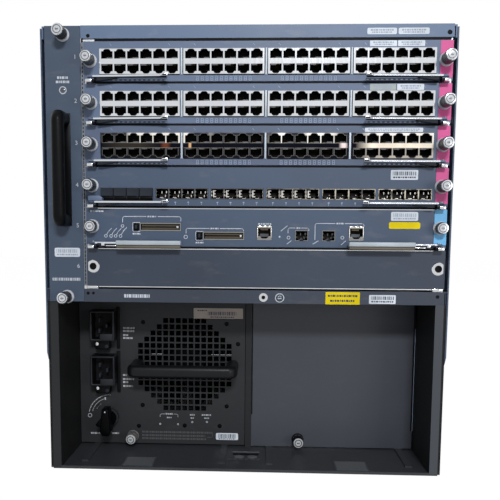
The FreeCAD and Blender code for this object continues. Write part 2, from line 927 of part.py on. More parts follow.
def card_panel(card):
    """A card's folded front panel with the two tabs and pins that carry its ejector levers."""
    body = piece(f"card_{card}_faceplate", z=card_drop(card))
    slot_panel(body, d.sheet)
    bottom = d.slot_top - d.panel_height
    tab_front = d.lever_pivot_y - d.lever_boss_radius
    pivots = [panel_centre - d.lever_offset, panel_centre + d.lever_offset]
    half = d.lever_boss_radius
    tabs = [rectangle(pivot - half, pivot + half, tab_front, 0) for pivot in pivots]
    add(body, "z", bottom, bottom + d.sheet, *tabs)
    pins = [facets(pivot, d.lever_pivot_y, d.lever_pin_radius, PIN_SIDES) for pivot in pivots]
    add(body, "z", bottom + d.sheet, d.slot_top - d.lever_front_drop, *pins)
    return body


def window(body, outline, count=1, pitch=0):
    """A rectangular window in a card panel, or a row of them."""
    left, right, low, high = outline
    clear = d.window_clearance
    opening = rectangle(left - clear, right + clear, low - clear, high + clear)
    pocket = cut(body, "y", 0, d.sheet, opening)
    if count > 1:
        repeat(body, pocket, "X", count, pitch)


def card_board(card):
    """A circuit board with its rear connectors."""
    body = piece(f"card_{card}_board", z=card_drop(card))
    top = d.slot_top - d.board_drop
    outline = rectangle(d.board_left, d.board_right, d.sheet, d.board_back - d.rail_gap)
    add(body, "z", top - d.board_thickness, top, outline)
    mating_face = d.cage_back - d.connector_depth - d.rail_gap
    add(body, "y", mating_face - d.connector_height, mating_face, *connector_pair(top))


def lever_edge(side, offset):
    """A place along a card's panel, measured from the panel's middle towards one end."""
    return panel_centre + side * measure(offset)


def ejector_lever(card, side_name, side):
    """A flat lever on its upright pin, with a stepped finger tip."""
    body = piece(f"card_{card}_lever_{side_name}", z=card_drop(card))
    top = d.slot_top - d.lever_front_drop
    bottom = top - d.lever_thickness
    root = d.lever_offset + d.lever_boss_radius
    heel = -d.lever_heel_gap
    step = d.lever_tip + d.lever_tip_length
    plan = [
        (d.lever_offset, heel),
        (root, d.lever_pivot_y),
        (root, -d.lever_root_reach),
        (step + d.lever_tip_slope, d.lever_tip_step - d.lever_tip_reach),
        (step - d.lever_tip_slope, -d.lever_tip_reach),
        (d.lever_tip, -d.lever_tip_reach),
        (d.lever_tip, d.lever_tip_thickness - d.lever_tip_reach),
        (step, -d.lever_root_reach),
        (d.lever_offset - d.lever_heel_length, -d.lever_heel_reach),
        (d.lever_offset - d.lever_heel_flat, heel),
    ]
    add(body, "z", bottom, top, [(lever_edge(side, offset), along) for offset, along in plan])
    boss_bottom = d.slot_top - d.panel_height + d.sheet + d.rail_gap
    pivot = lever_edge(side, d.lever_offset)
    add(body, "z", boss_bottom, bottom, facets(pivot, d.lever_pivot_y, d.lever_boss_radius, PIN_SIDES))
    if card == CONTROL_CARD:
        lever_grip(body, side, top)
    bore_radius = d.lever_pin_radius / math.cos(math.pi / PIN_SIDES) + d.lever_pin_clearance
    bore = facets(pivot, d.lever_pivot_y, bore_radius, PIN_SIDES)
    cut(body, "z", boss_bottom, top, bore)


def lever_grip(body, side, top):
    """The thick grip of a control card's lever: an upright face with a lower face that slopes back."""
    ends = [lever_edge(side, d.lever_grip_root), lever_edge(side, d.lever_grip_tip)]
    low, high = ends if side < 0 else ends[::-1]
    grip_top = top + d.lever_grip_rise
    grip_low = grip_top - d.lever_grip_height
    section = [
        (-d.lever_grip_reach, grip_top),
        (-d.lever_grip_reach, grip_low),
        (-d.lever_grip_back, grip_low - d.lever_grip_slope),
        (-d.lever_grip_back, grip_top),
    ]
    add(body, "x", low, high, section)


def card_screws(card):
    body = piece(f"card_{card}_screws", z=card_drop(card))
    z = d.slot_top - d.screw_drop
    captive_screws(body, measure(0), (panel_centre - d.screw_offset, z), (panel_centre + d.screw_offset, z))


def jack_mouth(middle, floor, upward):
    """Outline of a jack's mouth with the notch for the plug's latch, opening up or down from its floor."""
    half = d.jack_width / 2
    notch = d.jack_notch_width / 2
    shoulder = floor + upward * d.jack_height
    crown = shoulder + upward * d.jack_notch_height
    return [
        (middle - half, floor),
        (middle + half, floor),
        (middle + half, shoulder),
        (middle + notch, shoulder),
        (middle + notch, crown),
        (middle - notch, crown),
        (middle - notch, shoulder),
        (middle - half, shoulder),
    ]


def gang_box():
    """Left, right, low and high edges of the first gang of jacks."""
    left = panel_centre - d.gang_pitch * (GANGS - 1) / 2 - d.gang_width / 2
    high = d.slot_top - d.gang_drop
    return left, left + d.gang_width, high - d.gang_height, high


def jack_gangs(card):
    """Four shielded blocks, each with two rows of six jacks."""
    body = piece(f"card_{card}_jacks", z=card_drop(card))
    left, right, low, high = gang_box()
    add(body, "y", -d.gang_proud, d.gang_depth, rectangle(left, right, low, high))
    first = (left + right) / 2 - d.jack_pitch * (JACKS_IN_ROW - 1) / 2
    half = d.jack_width / 2
    top = (low + high) / 2 - d.jack_bar / 2
    mouth_height = d.jack_height + d.jack_notch_height
    mouth = rectangle(first - half, first + half, top - mouth_height, top)
    pocket = cut(body, "y", -d.gang_proud, d.jack_depth - d.gang_proud, mouth)
    row_pitch = mouth_height + d.jack_bar
    repeat(body, pocket, "X", JACKS_IN_ROW, d.jack_pitch, ("Z", JACK_ROWS, row_pitch))
    repeat(body, None, "X", GANGS, d.gang_pitch)


def copper_card(card):
    panel = card_panel(card)
    window(panel, gang_box(), GANGS, d.gang_pitch)
    card_board(card)
    jack_gangs(card)


def cage_box():
    """Left, right, low and high edges of the first group of pluggable cages."""
    left = panel_centre - d.cage_group_pitch * (CAGE_GROUPS - 1) / 2 - d.cage_group_width / 2
    low = d.slot_top - d.board_drop
    return left, left + d.cage_group_width, low, low + d.cage_height


def cage_mouth():
    """Left, right, low and high edges of the first cage's mouth."""
    left, right, low, high = cage_box()
    middle = (left + right) / 2 - d.cage_pitch * (CAGES_IN_GROUP - 1) / 2
    half = d.cage_mouth_width / 2
    bottom = (low + high) / 2 - d.cage_mouth_height / 2
    return middle - half, middle + half, bottom, bottom + d.cage_mouth_height


def pluggable_cages(card):
    body = piece(f"card_{card}_cages", z=card_drop(card))
    left, right, low, high = cage_box()
    add(body, "y", -d.gang_proud, d.cage_depth, rectangle(left, right, low, high))
    mouth = cut(body, "y", -d.gang_proud, d.cage_mouth_depth, rectangle(*cage_mouth()))
    repeat(body, mouth, "X", CAGES_IN_GROUP, d.cage_pitch)
    repeat(body, None, "X", CAGE_GROUPS, d.cage_group_pitch)


def dust_plugs(card):
    """Plugs in the four cages of the first group: a stem in the cage and a wider face."""
    body = piece(f"card_{card}_dust_plugs", z=card_drop(card))
    left, right, low, high = cage_mouth()
    clear = d.window_clearance
    stem = rectangle(left + clear, right - clear, low + clear, high - clear)
    add(body, "y", -d.gang_proud, d.cage_mouth_depth / 2, stem)
    face = rectangle(
        left - d.plug_overlap,
        right + d.plug_overlap,
        low - d.plug_overlap_low,
        high + d.plug_overlap_high,
    )
    add(body, "y", -d.gang_proud - d.plug_face, -d.gang_proud, face)
    repeat(body, None, "X", CAGES_IN_GROUP, d.cage_pitch)


def pluggable_card(card):
    panel = card_panel(card)
    window(panel, cage_box(), CAGE_GROUPS, d.cage_group_pitch)
    card_board(card)
    pluggable_cages(card)
    dust_plugs(card)


def control_boxes():
    """Left, right, low and high edges of the control card's slots and sockets."""
    base = d.slot_top - d.board_drop
    flash_one = d.slot_top - d.flash_one_drop
    flash_two = d.slot_top - d.flash_two_drop
    boxes = {
        "flash_1": (d.flash_one_left, d.flash_width, flash_one - d.flash_height, d.flash_height),
        "flash_2": (d.flash_two_left, d.flash_width, flash_two - d.flash_height, d.flash_height),
        "console": (d.console_left, d.socket_width, base, d.socket_height),
        "network": (d.network_left, d.socket_width, base, d.socket_height),
        "uplink_1": (d.uplink_one_left, d.uplink_width, base, d.uplink_height),
        "uplink_2": (d.uplink_two_left, d.uplink_width, base, d.uplink_height),
    }
    return {
        name: (left, left + width, low, low + height) for name, (left, width, low, height) in boxes.items()
    }


def inset(box, side, end):
    left, right, low, high = box
    return rectangle(left + side, right - side, low + end, high - end)


def control_ports(card):
    """Two memory card slots, two copper jacks and two pluggable cages on the control card's board."""
    body = piece(f"card_{card}_ports", z=card_drop(card))
    boxes = control_boxes()
    front = -d.gang_proud
    flashes = [boxes["flash_1"], boxes["flash_2"]]
    sockets = [boxes["console"], boxes["network"]]
    uplinks = [boxes["uplink_1"], boxes["uplink_2"]]
    add(body, "y", front, d.flash_depth, *[rectangle(*box) for box in flashes + uplinks])
    add(body, "y", front, d.socket_depth, *[rectangle(*box) for box in sockets])
    left, right, low, _ = boxes["flash_1"]
    pedestal = rectangle(left, right, d.slot_top - d.board_drop, low)
    add(body, "y", d.sheet * 2, d.flash_depth, pedestal)
    side = (d.flash_width - d.flash_mouth_width) / 2
    end = (d.flash_height - d.flash_mouth_height) / 2
    mouth_back = d.flash_depth - d.sheet
    cut(body, "y", front, mouth_back, *[inset(box, side, end) for box in flashes])
    cut(body, "y", front, mouth_back, *[inset(box, d.uplink_wall, d.uplink_lip) for box in uplinks])
    mouths = []
    for left, right, low, high in sockets:
        mouths.append(jack_mouth((left + right) / 2, high - d.socket_lip, -1))
    cut(body, "y", front, d.jack_depth, *mouths)


def button_box(flash):
    """Left, right, low and high edges of the eject button beside a memory card slot."""
    left, right, low, high = flash
    middle = (low + high) / 2
    button_right = left - d.button_gap
    half = d.button_height / 2
    return button_right - d.button_width, button_right, middle - half, middle + half


def eject_button(card, number):
    """A push button on a stem of its own, a little smaller than its window."""
    body = piece(f"card_{card}_eject_button_{number}", z=card_drop(card))
    box = button_box(control_boxes()[f"flash_{number}"])
    clear = d.window_clearance
    add(body, "y", -d.button_proud, d.button_depth, inset(box, clear, clear))


def control_card(card):
    panel = card_panel(card)
    boxes = control_boxes()
    for box in boxes.values():
        window(panel, box)
    for number in (1, 2):
        window(panel, button_box(boxes[f"flash_{number}"]))
    card_board(card)
    control_ports(card)
    for number in (1, 2):
        eject_button(card, number)


# Power supply


def psu_case():
    """A box of sheet, open at the front where its panel closes it, with exhaust slots at the back."""
    body = piece("psu_case")
    front = d.bay_depth + d.psu_panel
    outer = rectangle(d.psu_left, d.psu_right, d.psu_bottom, d.psu_top)
    inner = inset((d.psu_left, d.psu_right, d.psu_bottom, d.psu_top), d.sheet, d.sheet)
    add(body, "y", front, d.psu_back, outer)
    cut(body, "y", front, d.psu_back - d.sheet, inner)
    between_rear_slots = d.exhaust_low + d.exhaust_pitch / 2
    slot = cut(body, "y", d.psu_back - d.sheet, d.psu_back, exhaust_slot(between_rear_slots))
    repeat(body, slot, "Z", PSU_EXHAUST_SLOTS, d.exhaust_pitch)
    shroud_inner = d.psu_fan_bore + d.psu_shroud_gap
    shroud = [
        square(d.grille_x, d.grille_z, shroud_inner + d.sheet),
        square(d.grille_x, d.grille_z, shroud_inner),
    ]
    add(body, "y", front, front + d.psu_shroud_length, *shroud)


def grille_holes(body):
    """Square holes in rows of growing length, which together make a stepped circle."""
    front = d.bay_depth
    for across, rows, spread in GRILLE_ROWS:
        first_x = d.grille_x - d.grille_pitch * (across - 1) / 2
        row_pitch = d.grille_pitch * (spread if rows == 2 else 1)
        first_z = d.grille_z - row_pitch * (rows - 1) / 2
        hole = square(first_x, first_z, d.grille_hole / 2)
        pocket = cut(body, "y", front, front + d.psu_panel, hole)
        repeat(body, pocket, "X", across, d.grille_pitch, ("Z", rows, row_pitch))


def psu_front_panel():
    body = piece("psu_front_panel")
    front = d.bay_depth
    add(body, "y", front, front + d.psu_panel, rectangle(d.psu_left, d.psu_right, d.psu_bottom, d.psu_top))
    grille_holes(body)
    plate = facets(d.switch_x, d.switch_z, d.switch_plate, DISC_SIDES)
    add(body, "y", front - d.switch_plate_reach, front, plate)
    captive_screws(body, front, (d.psu_screw_x, d.bay_screw_z))


def psu_handle():
    body = piece("psu_handle")
    front = d.bay_depth - d.psu_handle_reach
    ends = (d.psu_handle_left, d.psu_handle_right)
    outline = bow_outline(*ends, front, d.handle_bar, d.handle_foot, d.bay_depth)
    add(body, "z", d.psu_handle_low, d.psu_handle_high, outline)
    upright = FreeCAD.Vector(0, 0, 1)

    def front_corner(edge):
        front_y = DIMENSIONS["bay_depth"] - DIMENSIONS["psu_handle_reach"]
        return runs_along(edge, upright) and edge.CenterOfMass.y < front_y + 1

    round_edges(body, front_corner, d.handle_round)


def inlet_blades(left, right, low, high):
    """Outlines of an inlet's three contact blades."""
    middle_x = (left + right) / 2
    middle_z = (low + high) / 2
    half_width = d.inlet_pin_width / 2
    half_height = d.inlet_pin_height / 2
    blades = []
    for across, up in ((-1, 1), (1, 0), (-1, -1)):
        x = middle_x + d.inlet_pin_across * across
        z = middle_z + d.inlet_pin_up * up
        blades.append(rectangle(x - half_width, x + half_width, z - half_height, z + half_height))
    return blades


def psu_inlets():
    """Two appliance inlets with three blades each and the tongue of a cord clamp below."""
    body = piece("psu_inlets")
    front = d.bay_depth - d.inlet_reach
    back = d.bay_depth - d.sheet
    highs = [d.inlet_high, d.inlet_high - d.inlet_pitch]
    boxes = [(d.inlet_left, d.inlet_right, high - d.inlet_height, high) for high in highs]
    tongues = [
        rectangle(left + d.clamp_left, right - d.clamp_right, low - d.clamp_drop, low)
        for left, right, low, _ in boxes
    ]
    add(body, "y", front, d.bay_depth, *[rectangle(*box) for box in boxes])
    add(body, "y", d.bay_depth - d.clamp_reach, d.bay_depth, *tongues)
    cut(body, "y", front, back, *[inset(box, d.inlet_wall, d.inlet_wall) for box in boxes])
    for box in boxes:
        add(body, "y", back - d.inlet_pin_length, back, *inlet_blades(*box))


def psu_knob():
    """The rotary switch's disc and its wing, which stands upright when the supply is on."""
    body = piece("psu_knob")
    seat = d.bay_depth - d.switch_plate_reach - d.switch_gap
    disc_front = d.bay_depth - d.switch_disc_reach
    add(body, "y", disc_front, seat, facets(d.switch_x, d.switch_z, d.switch_disc, DISC_SIDES))
    half_width = d.switch_wing_width / 2
    half_height = d.switch_wing_height / 2
    taper = half_width - d.switch_wing_taper
    shoulder = d.switch_z - half_height + d.switch_wing_shoulder
    wing = [
        (d.switch_x - half_width, shoulder),
        (d.switch_x - taper, d.switch_z - half_height),
        (d.switch_x + taper, d.switch_z - half_height),
        (d.switch_x + half_width, shoulder),
        (d.switch_x + taper, d.switch_z + half_height),
        (d.switch_x - taper, d.switch_z + half_height),
    ]
    add(body, "y", d.bay_depth - d.switch_reach, disc_front, wing)


def psu_fan_rotor():
    y = d.bay_depth + d.psu_panel + d.psu_fan_gap + d.rotor_depth / 2
    fan_rotor("psu_fan_rotor", d.grille_x, y, d.grille_z, d.psu_rotor_hub, d.psu_rotor_tip, True)


def chassis():
    base_pan()
    top_panel()
    side_wall("left_side_wall", -1)
    side_wall("right_side_wall", 1)
    side_vent_plates()
    rear_panel()
    mid_shelf()
    psu_divider()
    cage_walls()
    card_guides()
    backplane()
    esd_jack()
    filler_panel()
    psu_blank_cover()


def fan_tray():
    fan_tray_panel()
    fan_tray_frame()
    fan_housings()
    fan_rotors()
    fan_tray_handle()
    fan_tray_screws()


def cards():
    for card in COPPER_CARDS:
        copper_card(card)
    pluggable_card(PLUGGABLE_CARD)
    control_card(CONTROL_CARD)
    for card in (*COPPER_CARDS, PLUGGABLE_CARD, CONTROL_CARD):
        ejector_lever(card, "left", -1)
        ejector_lever(card, "right", 1)
        card_screws(card)


def power_supply():
    psu_case()
    psu_front_panel()
    psu_handle()
    psu_inlets()
    psu_knob()
    psu_fan_rotor()


def check_document():
    """Stops if any object failed or any sub-part has no sound shape."""
    for item in doc.Objects:
        if {"Invalid", "Error"} & set(item.State):
            raise RuntimeError(f"{item.getParentGeoFeatureGroup().Label}: {item.getStatusString()}")
    for body in pieces:
        if body.Shape.isNull() or not body.Shape.isValid():
            raise RuntimeError(f"{body.Label} has no valid shape")


def write_parts():
    os.makedirs("parts", exist_ok=True)
    for body in pieces:
        body.Shape.exportStep(f"parts/{body.Label}.step")
    print(len(pieces), "parts written")


chassis()
fan_tray()
cards()
power_supply()
doc.recompute()
check_document()
write_parts()
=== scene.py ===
# %% [markdown]
# # A modular network switch, dressed for the camera
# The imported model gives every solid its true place. This script loads it as a fixed frame, gives each solid
# a finish, and adds the fine pieces that are too small for the solids: sockets, knurled screws, print
# and labels.

# %% Load the frame
import json
import math

import bmesh
import bpy
from mathutils import Matrix, Vector


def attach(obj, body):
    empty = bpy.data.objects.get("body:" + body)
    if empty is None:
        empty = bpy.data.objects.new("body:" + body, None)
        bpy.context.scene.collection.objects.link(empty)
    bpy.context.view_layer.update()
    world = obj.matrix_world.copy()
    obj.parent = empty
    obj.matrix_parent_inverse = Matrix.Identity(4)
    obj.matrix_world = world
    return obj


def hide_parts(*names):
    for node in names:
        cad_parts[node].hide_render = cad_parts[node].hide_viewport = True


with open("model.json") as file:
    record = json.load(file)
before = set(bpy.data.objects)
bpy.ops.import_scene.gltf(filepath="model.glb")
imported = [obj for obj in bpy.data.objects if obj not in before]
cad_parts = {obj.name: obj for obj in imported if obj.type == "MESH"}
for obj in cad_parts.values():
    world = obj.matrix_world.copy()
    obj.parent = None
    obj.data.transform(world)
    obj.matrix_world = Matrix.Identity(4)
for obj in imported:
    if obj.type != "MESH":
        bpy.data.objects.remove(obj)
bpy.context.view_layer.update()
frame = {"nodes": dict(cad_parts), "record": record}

# %% [markdown]
# ## Drawing in millimetres
# The chassis is easiest to think about in millimetres, with the front face on y = 0. Each piece is drawn
# that way, and one transform at the end puts it into the frame, which is in metres with its origin under
# the middle.

# %% Sizes shared by many pieces
MM = 0.001
FRONT = -0.215
SLOT_TOP = 471.5
SLOT_PITCH = 44.0
PANEL_LEFT = -175.0
PANEL_RIGHT = 216.5
PANEL_CENTRE = (PANEL_LEFT + PANEL_RIGHT) / 2
BAY = 84.0
COPPER_CARDS = (1, 2, 3)
CARDS = (1, 2, 3, 4, 5)


def slot_top(slot):
    """Height of a slot's upper edge; slot 1 is the highest."""
    return SLOT_TOP - SLOT_PITCH * (slot - 1)


print("slots start at", [slot_top(slot) for slot in range(1, 7)])

# %% [markdown]
# ## Shader arithmetic
# A material is a graph of nodes. Writing it link by link hides the idea, so `Value` wraps a socket and lets
# Python's own operators add the Math nodes, and `Finish` holds one material and adds any other node by type.


# %% A socket that does arithmetic
class Value:
    """An output socket that can be used in a Python expression."""

    def __init__(self, finish, socket):
        self.finish = finish
        self.socket = socket

    def maths(self, operation, first, second):
        return self.finish.node("Math", "Value", {"operation": operation}, {0: first, 1: second})

    def __add__(self, other):
        return self.maths("ADD", self, other)

    def __sub__(self, other):
        return self.maths("SUBTRACT", self, other)

    def __mul__(self, other):
        return self.maths("MULTIPLY", self, other)

    def __radd__(self, other):
        return self.maths("ADD", other, self)

    def __rsub__(self, other):
        return self.maths("SUBTRACT", other, self)

    def __rmul__(self, other):
        return self.maths("MULTIPLY", other, self)

    def larger(self, other):
        return self.maths("MAXIMUM", self, other)


# %% A material under construction
class Finish:
    """One node tree: node() adds a node and returns one of its outputs."""

    def __init__(self, owner):
        self.owner = owner
        owner.use_nodes = True
        self.tree = owner.node_tree

    def node(self, kind, output, settings=None, inputs=None):
        made = self.tree.nodes.new("ShaderNode" + kind)
        for name, value in (settings or {}).items():
            setattr(made, name, value)
        for name, value in (inputs or {}).items():
            self.feed(made.inputs[name], value)
        return Value(self, made.outputs[output])

    def feed(self, socket, value):
        if isinstance(value, Value):
            self.tree.links.new(value.socket, socket)
        else:
            socket.default_value = value

    def place(self, stretch=(1, 1, 1)):
        """Object coordinates, stretched along each axis."""
        where = self.node("TexCoord", "Object")
        if stretch == (1, 1, 1):
            return where
        return self.node("Mapping", "Vector", {}, {"Vector": where, "Scale": stretch})

    def along(self, axis):
        """One of the Object coordinates, by the letter of its axis."""
        return self.node("SeparateXYZ", axis, {}, {"Vector": self.place()})

    def noise(self, scale, detail=2.0, stretch=(1, 1, 1)):
        inputs = {"Vector": self.place(stretch), "Scale": scale, "Detail": detail}
        return self.node("TexNoise", "Fac", {}, inputs)

    def span(self, value, low, high, start=0.0, end=1.0):
        """A value carried from one range to another and held at its ends."""
        inputs = {"Value": value, "From Min": low, "From Max": high, "To Min": start, "To Max": end}
        return self.node("MapRange", "Result", {"clamp": True}, inputs)

    def mix(self, factor, first, second):
        """A blend of two colours."""
        inputs = {"Factor": factor, 6: rgba(first), 7: rgba(second)}
        return self.node("Mix", 2, {"data_type": "RGBA"}, inputs)

    def bump(self, height, strength, distance):
        inputs = {"Height": height, "Strength": strength, "Distance": distance}
        return self.node("Bump", "Normal", {}, inputs)

    def surface(self, **sockets):
        """Sets the Principled shader's sockets; words joined by _ stand for a socket's name."""
        shader = self.tree.nodes["Principled BSDF"]
        for name, value in sockets.items():
            self.feed(shader.inputs[name.replace("_", " ")], value)
        return self.owner


def rgba(colour):
    """A colour with its alpha, or a socket as it is."""
    return colour if isinstance(colour, Value) else (*colour, 1.0)


def tint(colour, amount):
    return tuple(min(channel * amount, 1.0) for channel in colour)


def new_finish(name):
    return Finish(bpy.data.materials.new(name))


# %% [markdown]
# ## Painted sheet
# The chassis is sheet steel under a satin textured paint. Up close it has a fine orange peel, from a step
# away it has slow changes of tone, and handled edges pick up dust and pale rubs. Three noises at those
# sizes give it.


# %% Paint
FACE_SKIN = 0.4 * MM


def painted(name, colour, roughness, specular, dust=0.25, grain=700.0, face=None):
    """Satin paint. A lit face colour, where there is one, covers only what lies in the plane of the front."""
    finish = new_finish(name)
    broad = finish.noise(5.0, 3.0)
    rubs = finish.noise(38.0, 8.0, (1.0, 1.0, 2.5))
    peel = finish.noise(grain, 2.0)
    body = finish.mix(finish.span(broad, 0.35, 0.65), tint(colour, 0.9), tint(colour, 1.1))
    if face:
        on_lit_face = finish.span(finish.along("Y"), FRONT + FACE_SKIN, FRONT + 2 * FACE_SKIN, 1.0, 0.0)
        body = finish.mix(on_lit_face, body, face)
    dusty = finish.span(rubs, 0.58, 0.78, 0.0, dust)
    grey = tint((sum(colour) / 3 + 0.05,) * 3, 1.5)
    height = finish.bump(peel, 0.12, 0.0002)
    return finish.surface(
        Base_Color=finish.mix(dusty, body, grey),
        Roughness=finish.span(broad + rubs * 0.4, 0.4, 0.95, roughness - 0.06, roughness + 0.1),
        Specular_IOR_Level=specular,
        Normal=height,
    )


SATIN = (0.42, 0.35)
DULL_SATIN = (0.42, 0.32)
# The slate copies differ partly in their own tone and partly by painted light from above: the copies for the
# top strip and the upper cards are lighter, and those for the filler panel and the shelf are darker.
slate = painted("slate_paint", (0.062, 0.09, 0.147), *SATIN)
slate_tray = painted("slate_paint_tray", (0.058, 0.083, 0.128), *SATIN)
slate_toned_and_lit = painted("slate_paint_toned_and_lit", (0.118, 0.16, 0.252), *SATIN)
slate_third_toned_and_lit = painted("slate_paint_third_toned_and_lit", (0.096, 0.126, 0.2), *SATIN)
slate_top_toned_and_lit = painted("slate_paint_top_toned_and_lit", (0.13, 0.186, 0.295), *SATIN)
slate_deep_toned_and_shaded = painted("slate_paint_deep_toned_and_shaded", (0.039, 0.052, 0.08), *DULL_SATIN)
slate_shelf_toned_and_shaded = painted("slate_paint_shelf_toned_and_shaded", (0.04, 0.05, 0.072), *DULL_SATIN)
bay_paint = painted("bay_paint", (0.018, 0.019, 0.021), 0.55, 0.2, dust=0.12)
floor_paint = painted("bay_floor_paint", (0.034, 0.037, 0.042), 0.45, 0.3, dust=0.12)
supply_paint = painted("supply_paint", (0.024, 0.0255, 0.0285), 0.5, 0.22, dust=0.12)
# WALL is the inside of the bay walls, darker than the bay paint: painted shade in the recess. The right
# wall's face colour is much lighter: a painted highlight.
WALL = (0.011, 0.0115, 0.012)
left_wall_shaded = painted("left_wall_shaded_paint", WALL, 0.5, 0.14, dust=0.1, face=(0.028, 0.029, 0.03))
right_wall_shaded_and_lit = painted("right_wall_shaded_and_lit_paint", WALL, 0.5, 0.14, dust=0.1, face=(0.08, 0.088, 0.1))
cover_paint = painted("cover_paint", (0.053, 0.058, 0.072), 0.36, 0.3, dust=0.08)
floor_plate = painted("floor_plate_paint", (0.11, 0.116, 0.124), 0.45, 0.25)
print("paints:", [m.name for m in (slate, slate_toned_and_lit, slate_deep_toned_and_shaded, bay_paint, cover_paint)])

# %% [markdown]
# ## Metals
# Bare sheet shows the fine lines of rolling, nickel is smooth with small stains, and the jack shields are
# bright tin. A stretched noise gives the lines: its scale is large across them and small along them.


# %% Metals
def metal(name, colour, roughness, lines=(1.0, 1.0, 30.0), stain=0.15):
    finish = new_finish(name)
    streak = finish.noise(90.0, 3.0, lines)
    cloud = finish.noise(45.0, 4.0)
    worn = finish.span(cloud, 0.45, 0.75, 0.0, stain)
    return finish.surface(
        Base_Color=finish.mix(worn, colour, tint(colour, 0.55)),
        Metallic=1.0,
        Roughness=finish.span(streak, 0.3, 0.7, roughness * 0.75, roughness * 1.3),
        Normal=finish.bump(streak, 0.05, 0.0001),
    )


bare_steel = metal("bare_steel", (0.52, 0.53, 0.55), 0.34)
nickel = metal("nickel", (0.56, 0.57, 0.59), 0.16, (1.0, 20.0, 1.0))
shield_bright = metal("shield_bright", (0.64, 0.66, 0.69), 0.11, (20.0, 1.0, 1.0), 0.12)
rim_dim = metal("rim_dim", (0.2, 0.195, 0.19), 0.2)
lever_steel = metal("lever_steel", (0.58, 0.61, 0.66), 0.18, (1.0, 20.0, 20.0))
screw_face = metal("screw_face", (0.55, 0.575, 0.61), 0.18, (1.0, 20.0, 1.0), 0.1)
# The knurled side and the grooves of a knob are much darker copies of its face's metal: painted shade.
screw_side_shaded = metal("screw_side_shaded", (0.11, 0.107, 0.102), 0.3, (1.0, 20.0, 1.0))
screw_groove_shaded = metal("screw_groove_shaded", (0.13, 0.13, 0.14), 0.4)
contact_gold = metal("contact_gold", (0.3, 0.24, 0.15), 0.3)
port_frame = metal("port_frame", (0.26, 0.26, 0.255), 0.2, (20.0, 1.0, 1.0))
cage_spring = metal("cage_spring", (0.62, 0.61, 0.58), 0.2, (1.0, 20.0, 1.0))


def yellowed(name):
    """Cage plating: dark at the left of the card and pale beige towards its right end."""
    finish = new_finish(name)
    across = finish.along("X")
    spots = finish.span(finish.noise(170.0, 3.0), 0.45, 0.62)
    tone_across = finish.mix(finish.span(across, 0.0, 0.13), (0.09, 0.09, 0.1), (0.5, 0.46, 0.38))
    return finish.surface(
        Base_Color=finish.mix(spots, tone_across, (0.05, 0.048, 0.044)),
        Metallic=1.0,
        Roughness=finish.span(spots, 0.0, 1.0, 0.28, 0.45),
    )


cage_frame = yellowed("cage_frame")
print("metals:", [m.name for m in (bare_steel, nickel, shield_bright, lever_steel, cage_spring)])

# %% [markdown]
# The third card has mirror-like shields, and what they reflect is painted into their colour: the middle bar
# is almost black with a few warm painted glints, the lower row is dark, the upper one is pale in patches, and
# the right gang is bright. Object coordinates tell the zones apart.

# %% Shields with painted reflections
REFLECTION_BAR_MIDDLE = (slot_top(3) - 20.8) * MM
REFLECTION_BAR_HALF = 2.5 * MM
PAINTED_BAR_GLINTS = (
    (-0.125, 0.034, (0.032, 0.027, 0.022)),
    (-0.087, 0.006, (0.14, 0.04, 0.022)),
    (-0.0605, 0.002, (0.7, 0.42, 0.2)),
    (0.104, 0.005, (0.8, 0.66, 0.66)),
)


def tarnished(name):
    """Shield plating with painted reflections; each painted glint on its bar has a middle, a half width and a
    colour.
    """
    finish = new_finish(name)
    across = finish.along("X")
    height = finish.along("Z") - REFLECTION_BAR_MIDDLE
    below = finish.span(height, -REFLECTION_BAR_HALF * 1.1, -REFLECTION_BAR_HALF * 0.9, 1.0, 0.0)
    band = finish.span(height, REFLECTION_BAR_HALF * 0.9, REFLECTION_BAR_HALF * 1.1, 1.0, 0.0) - below
    bright_gang = finish.span(across, 0.117, 0.134)
    pale_patches = finish.span(finish.noise(24.0, 2.0, (1.0, 0.1, 0.1)), 0.47, 0.55)
    upper = finish.mix(pale_patches.larger(bright_gang), (0.03, 0.03, 0.035), (0.85, 0.81, 0.74))
    lower = finish.mix(bright_gang, (0.01, 0.011, 0.015), (0.42, 0.38, 0.33))
    bar = finish.mix(bright_gang, (0.006, 0.0065, 0.011), (0.84, 0.75, 0.62))
    for middle, half, colour in PAINTED_BAR_GLINTS:
        away = (across - middle).larger(middle - across)
        bar = finish.mix(finish.span(away, half * 0.3, half, 1.0, 0.0), bar, colour)
    return finish.surface(
        Base_Color=finish.mix(band, finish.mix(below, upper, lower), bar),
        Metallic=1.0,
        Roughness=finish.span(finish.noise(60.0, 3.0), 0.3, 0.7, 0.12, 0.24),
    )


shield_with_reflections = tarnished("shield_painted_reflections")
# The bar of painted reflections lies round this height.
print("tarnish lies round", round(REFLECTION_BAR_MIDDLE, 4), "m")

# %% [markdown]
# ## Plastics, print and labels
# Moulded plastic has a fine spark-eroded grain. Print and labels are thin and matt, with slight changes of
# tone. The zinc of some screws and collars is dull enough to be made the same way.


# %% Plastics and print
def plastic(name, colour, roughness, grain=1400.0, strength=0.1, specular=0.4):
    finish = new_finish(name)
    texture = finish.noise(grain, 2.0)
    broad = finish.noise(30.0, 4.0)
    return finish.surface(
        Base_Color=finish.mix(finish.span(broad, 0.35, 0.7), tint(colour, 0.88), tint(colour, 1.15)),
        Roughness=finish.span(broad, 0.3, 0.7, roughness - 0.05, roughness + 0.08),
        Specular_IOR_Level=specular,
        Normal=finish.bump(texture, strength, 0.0001),
    )


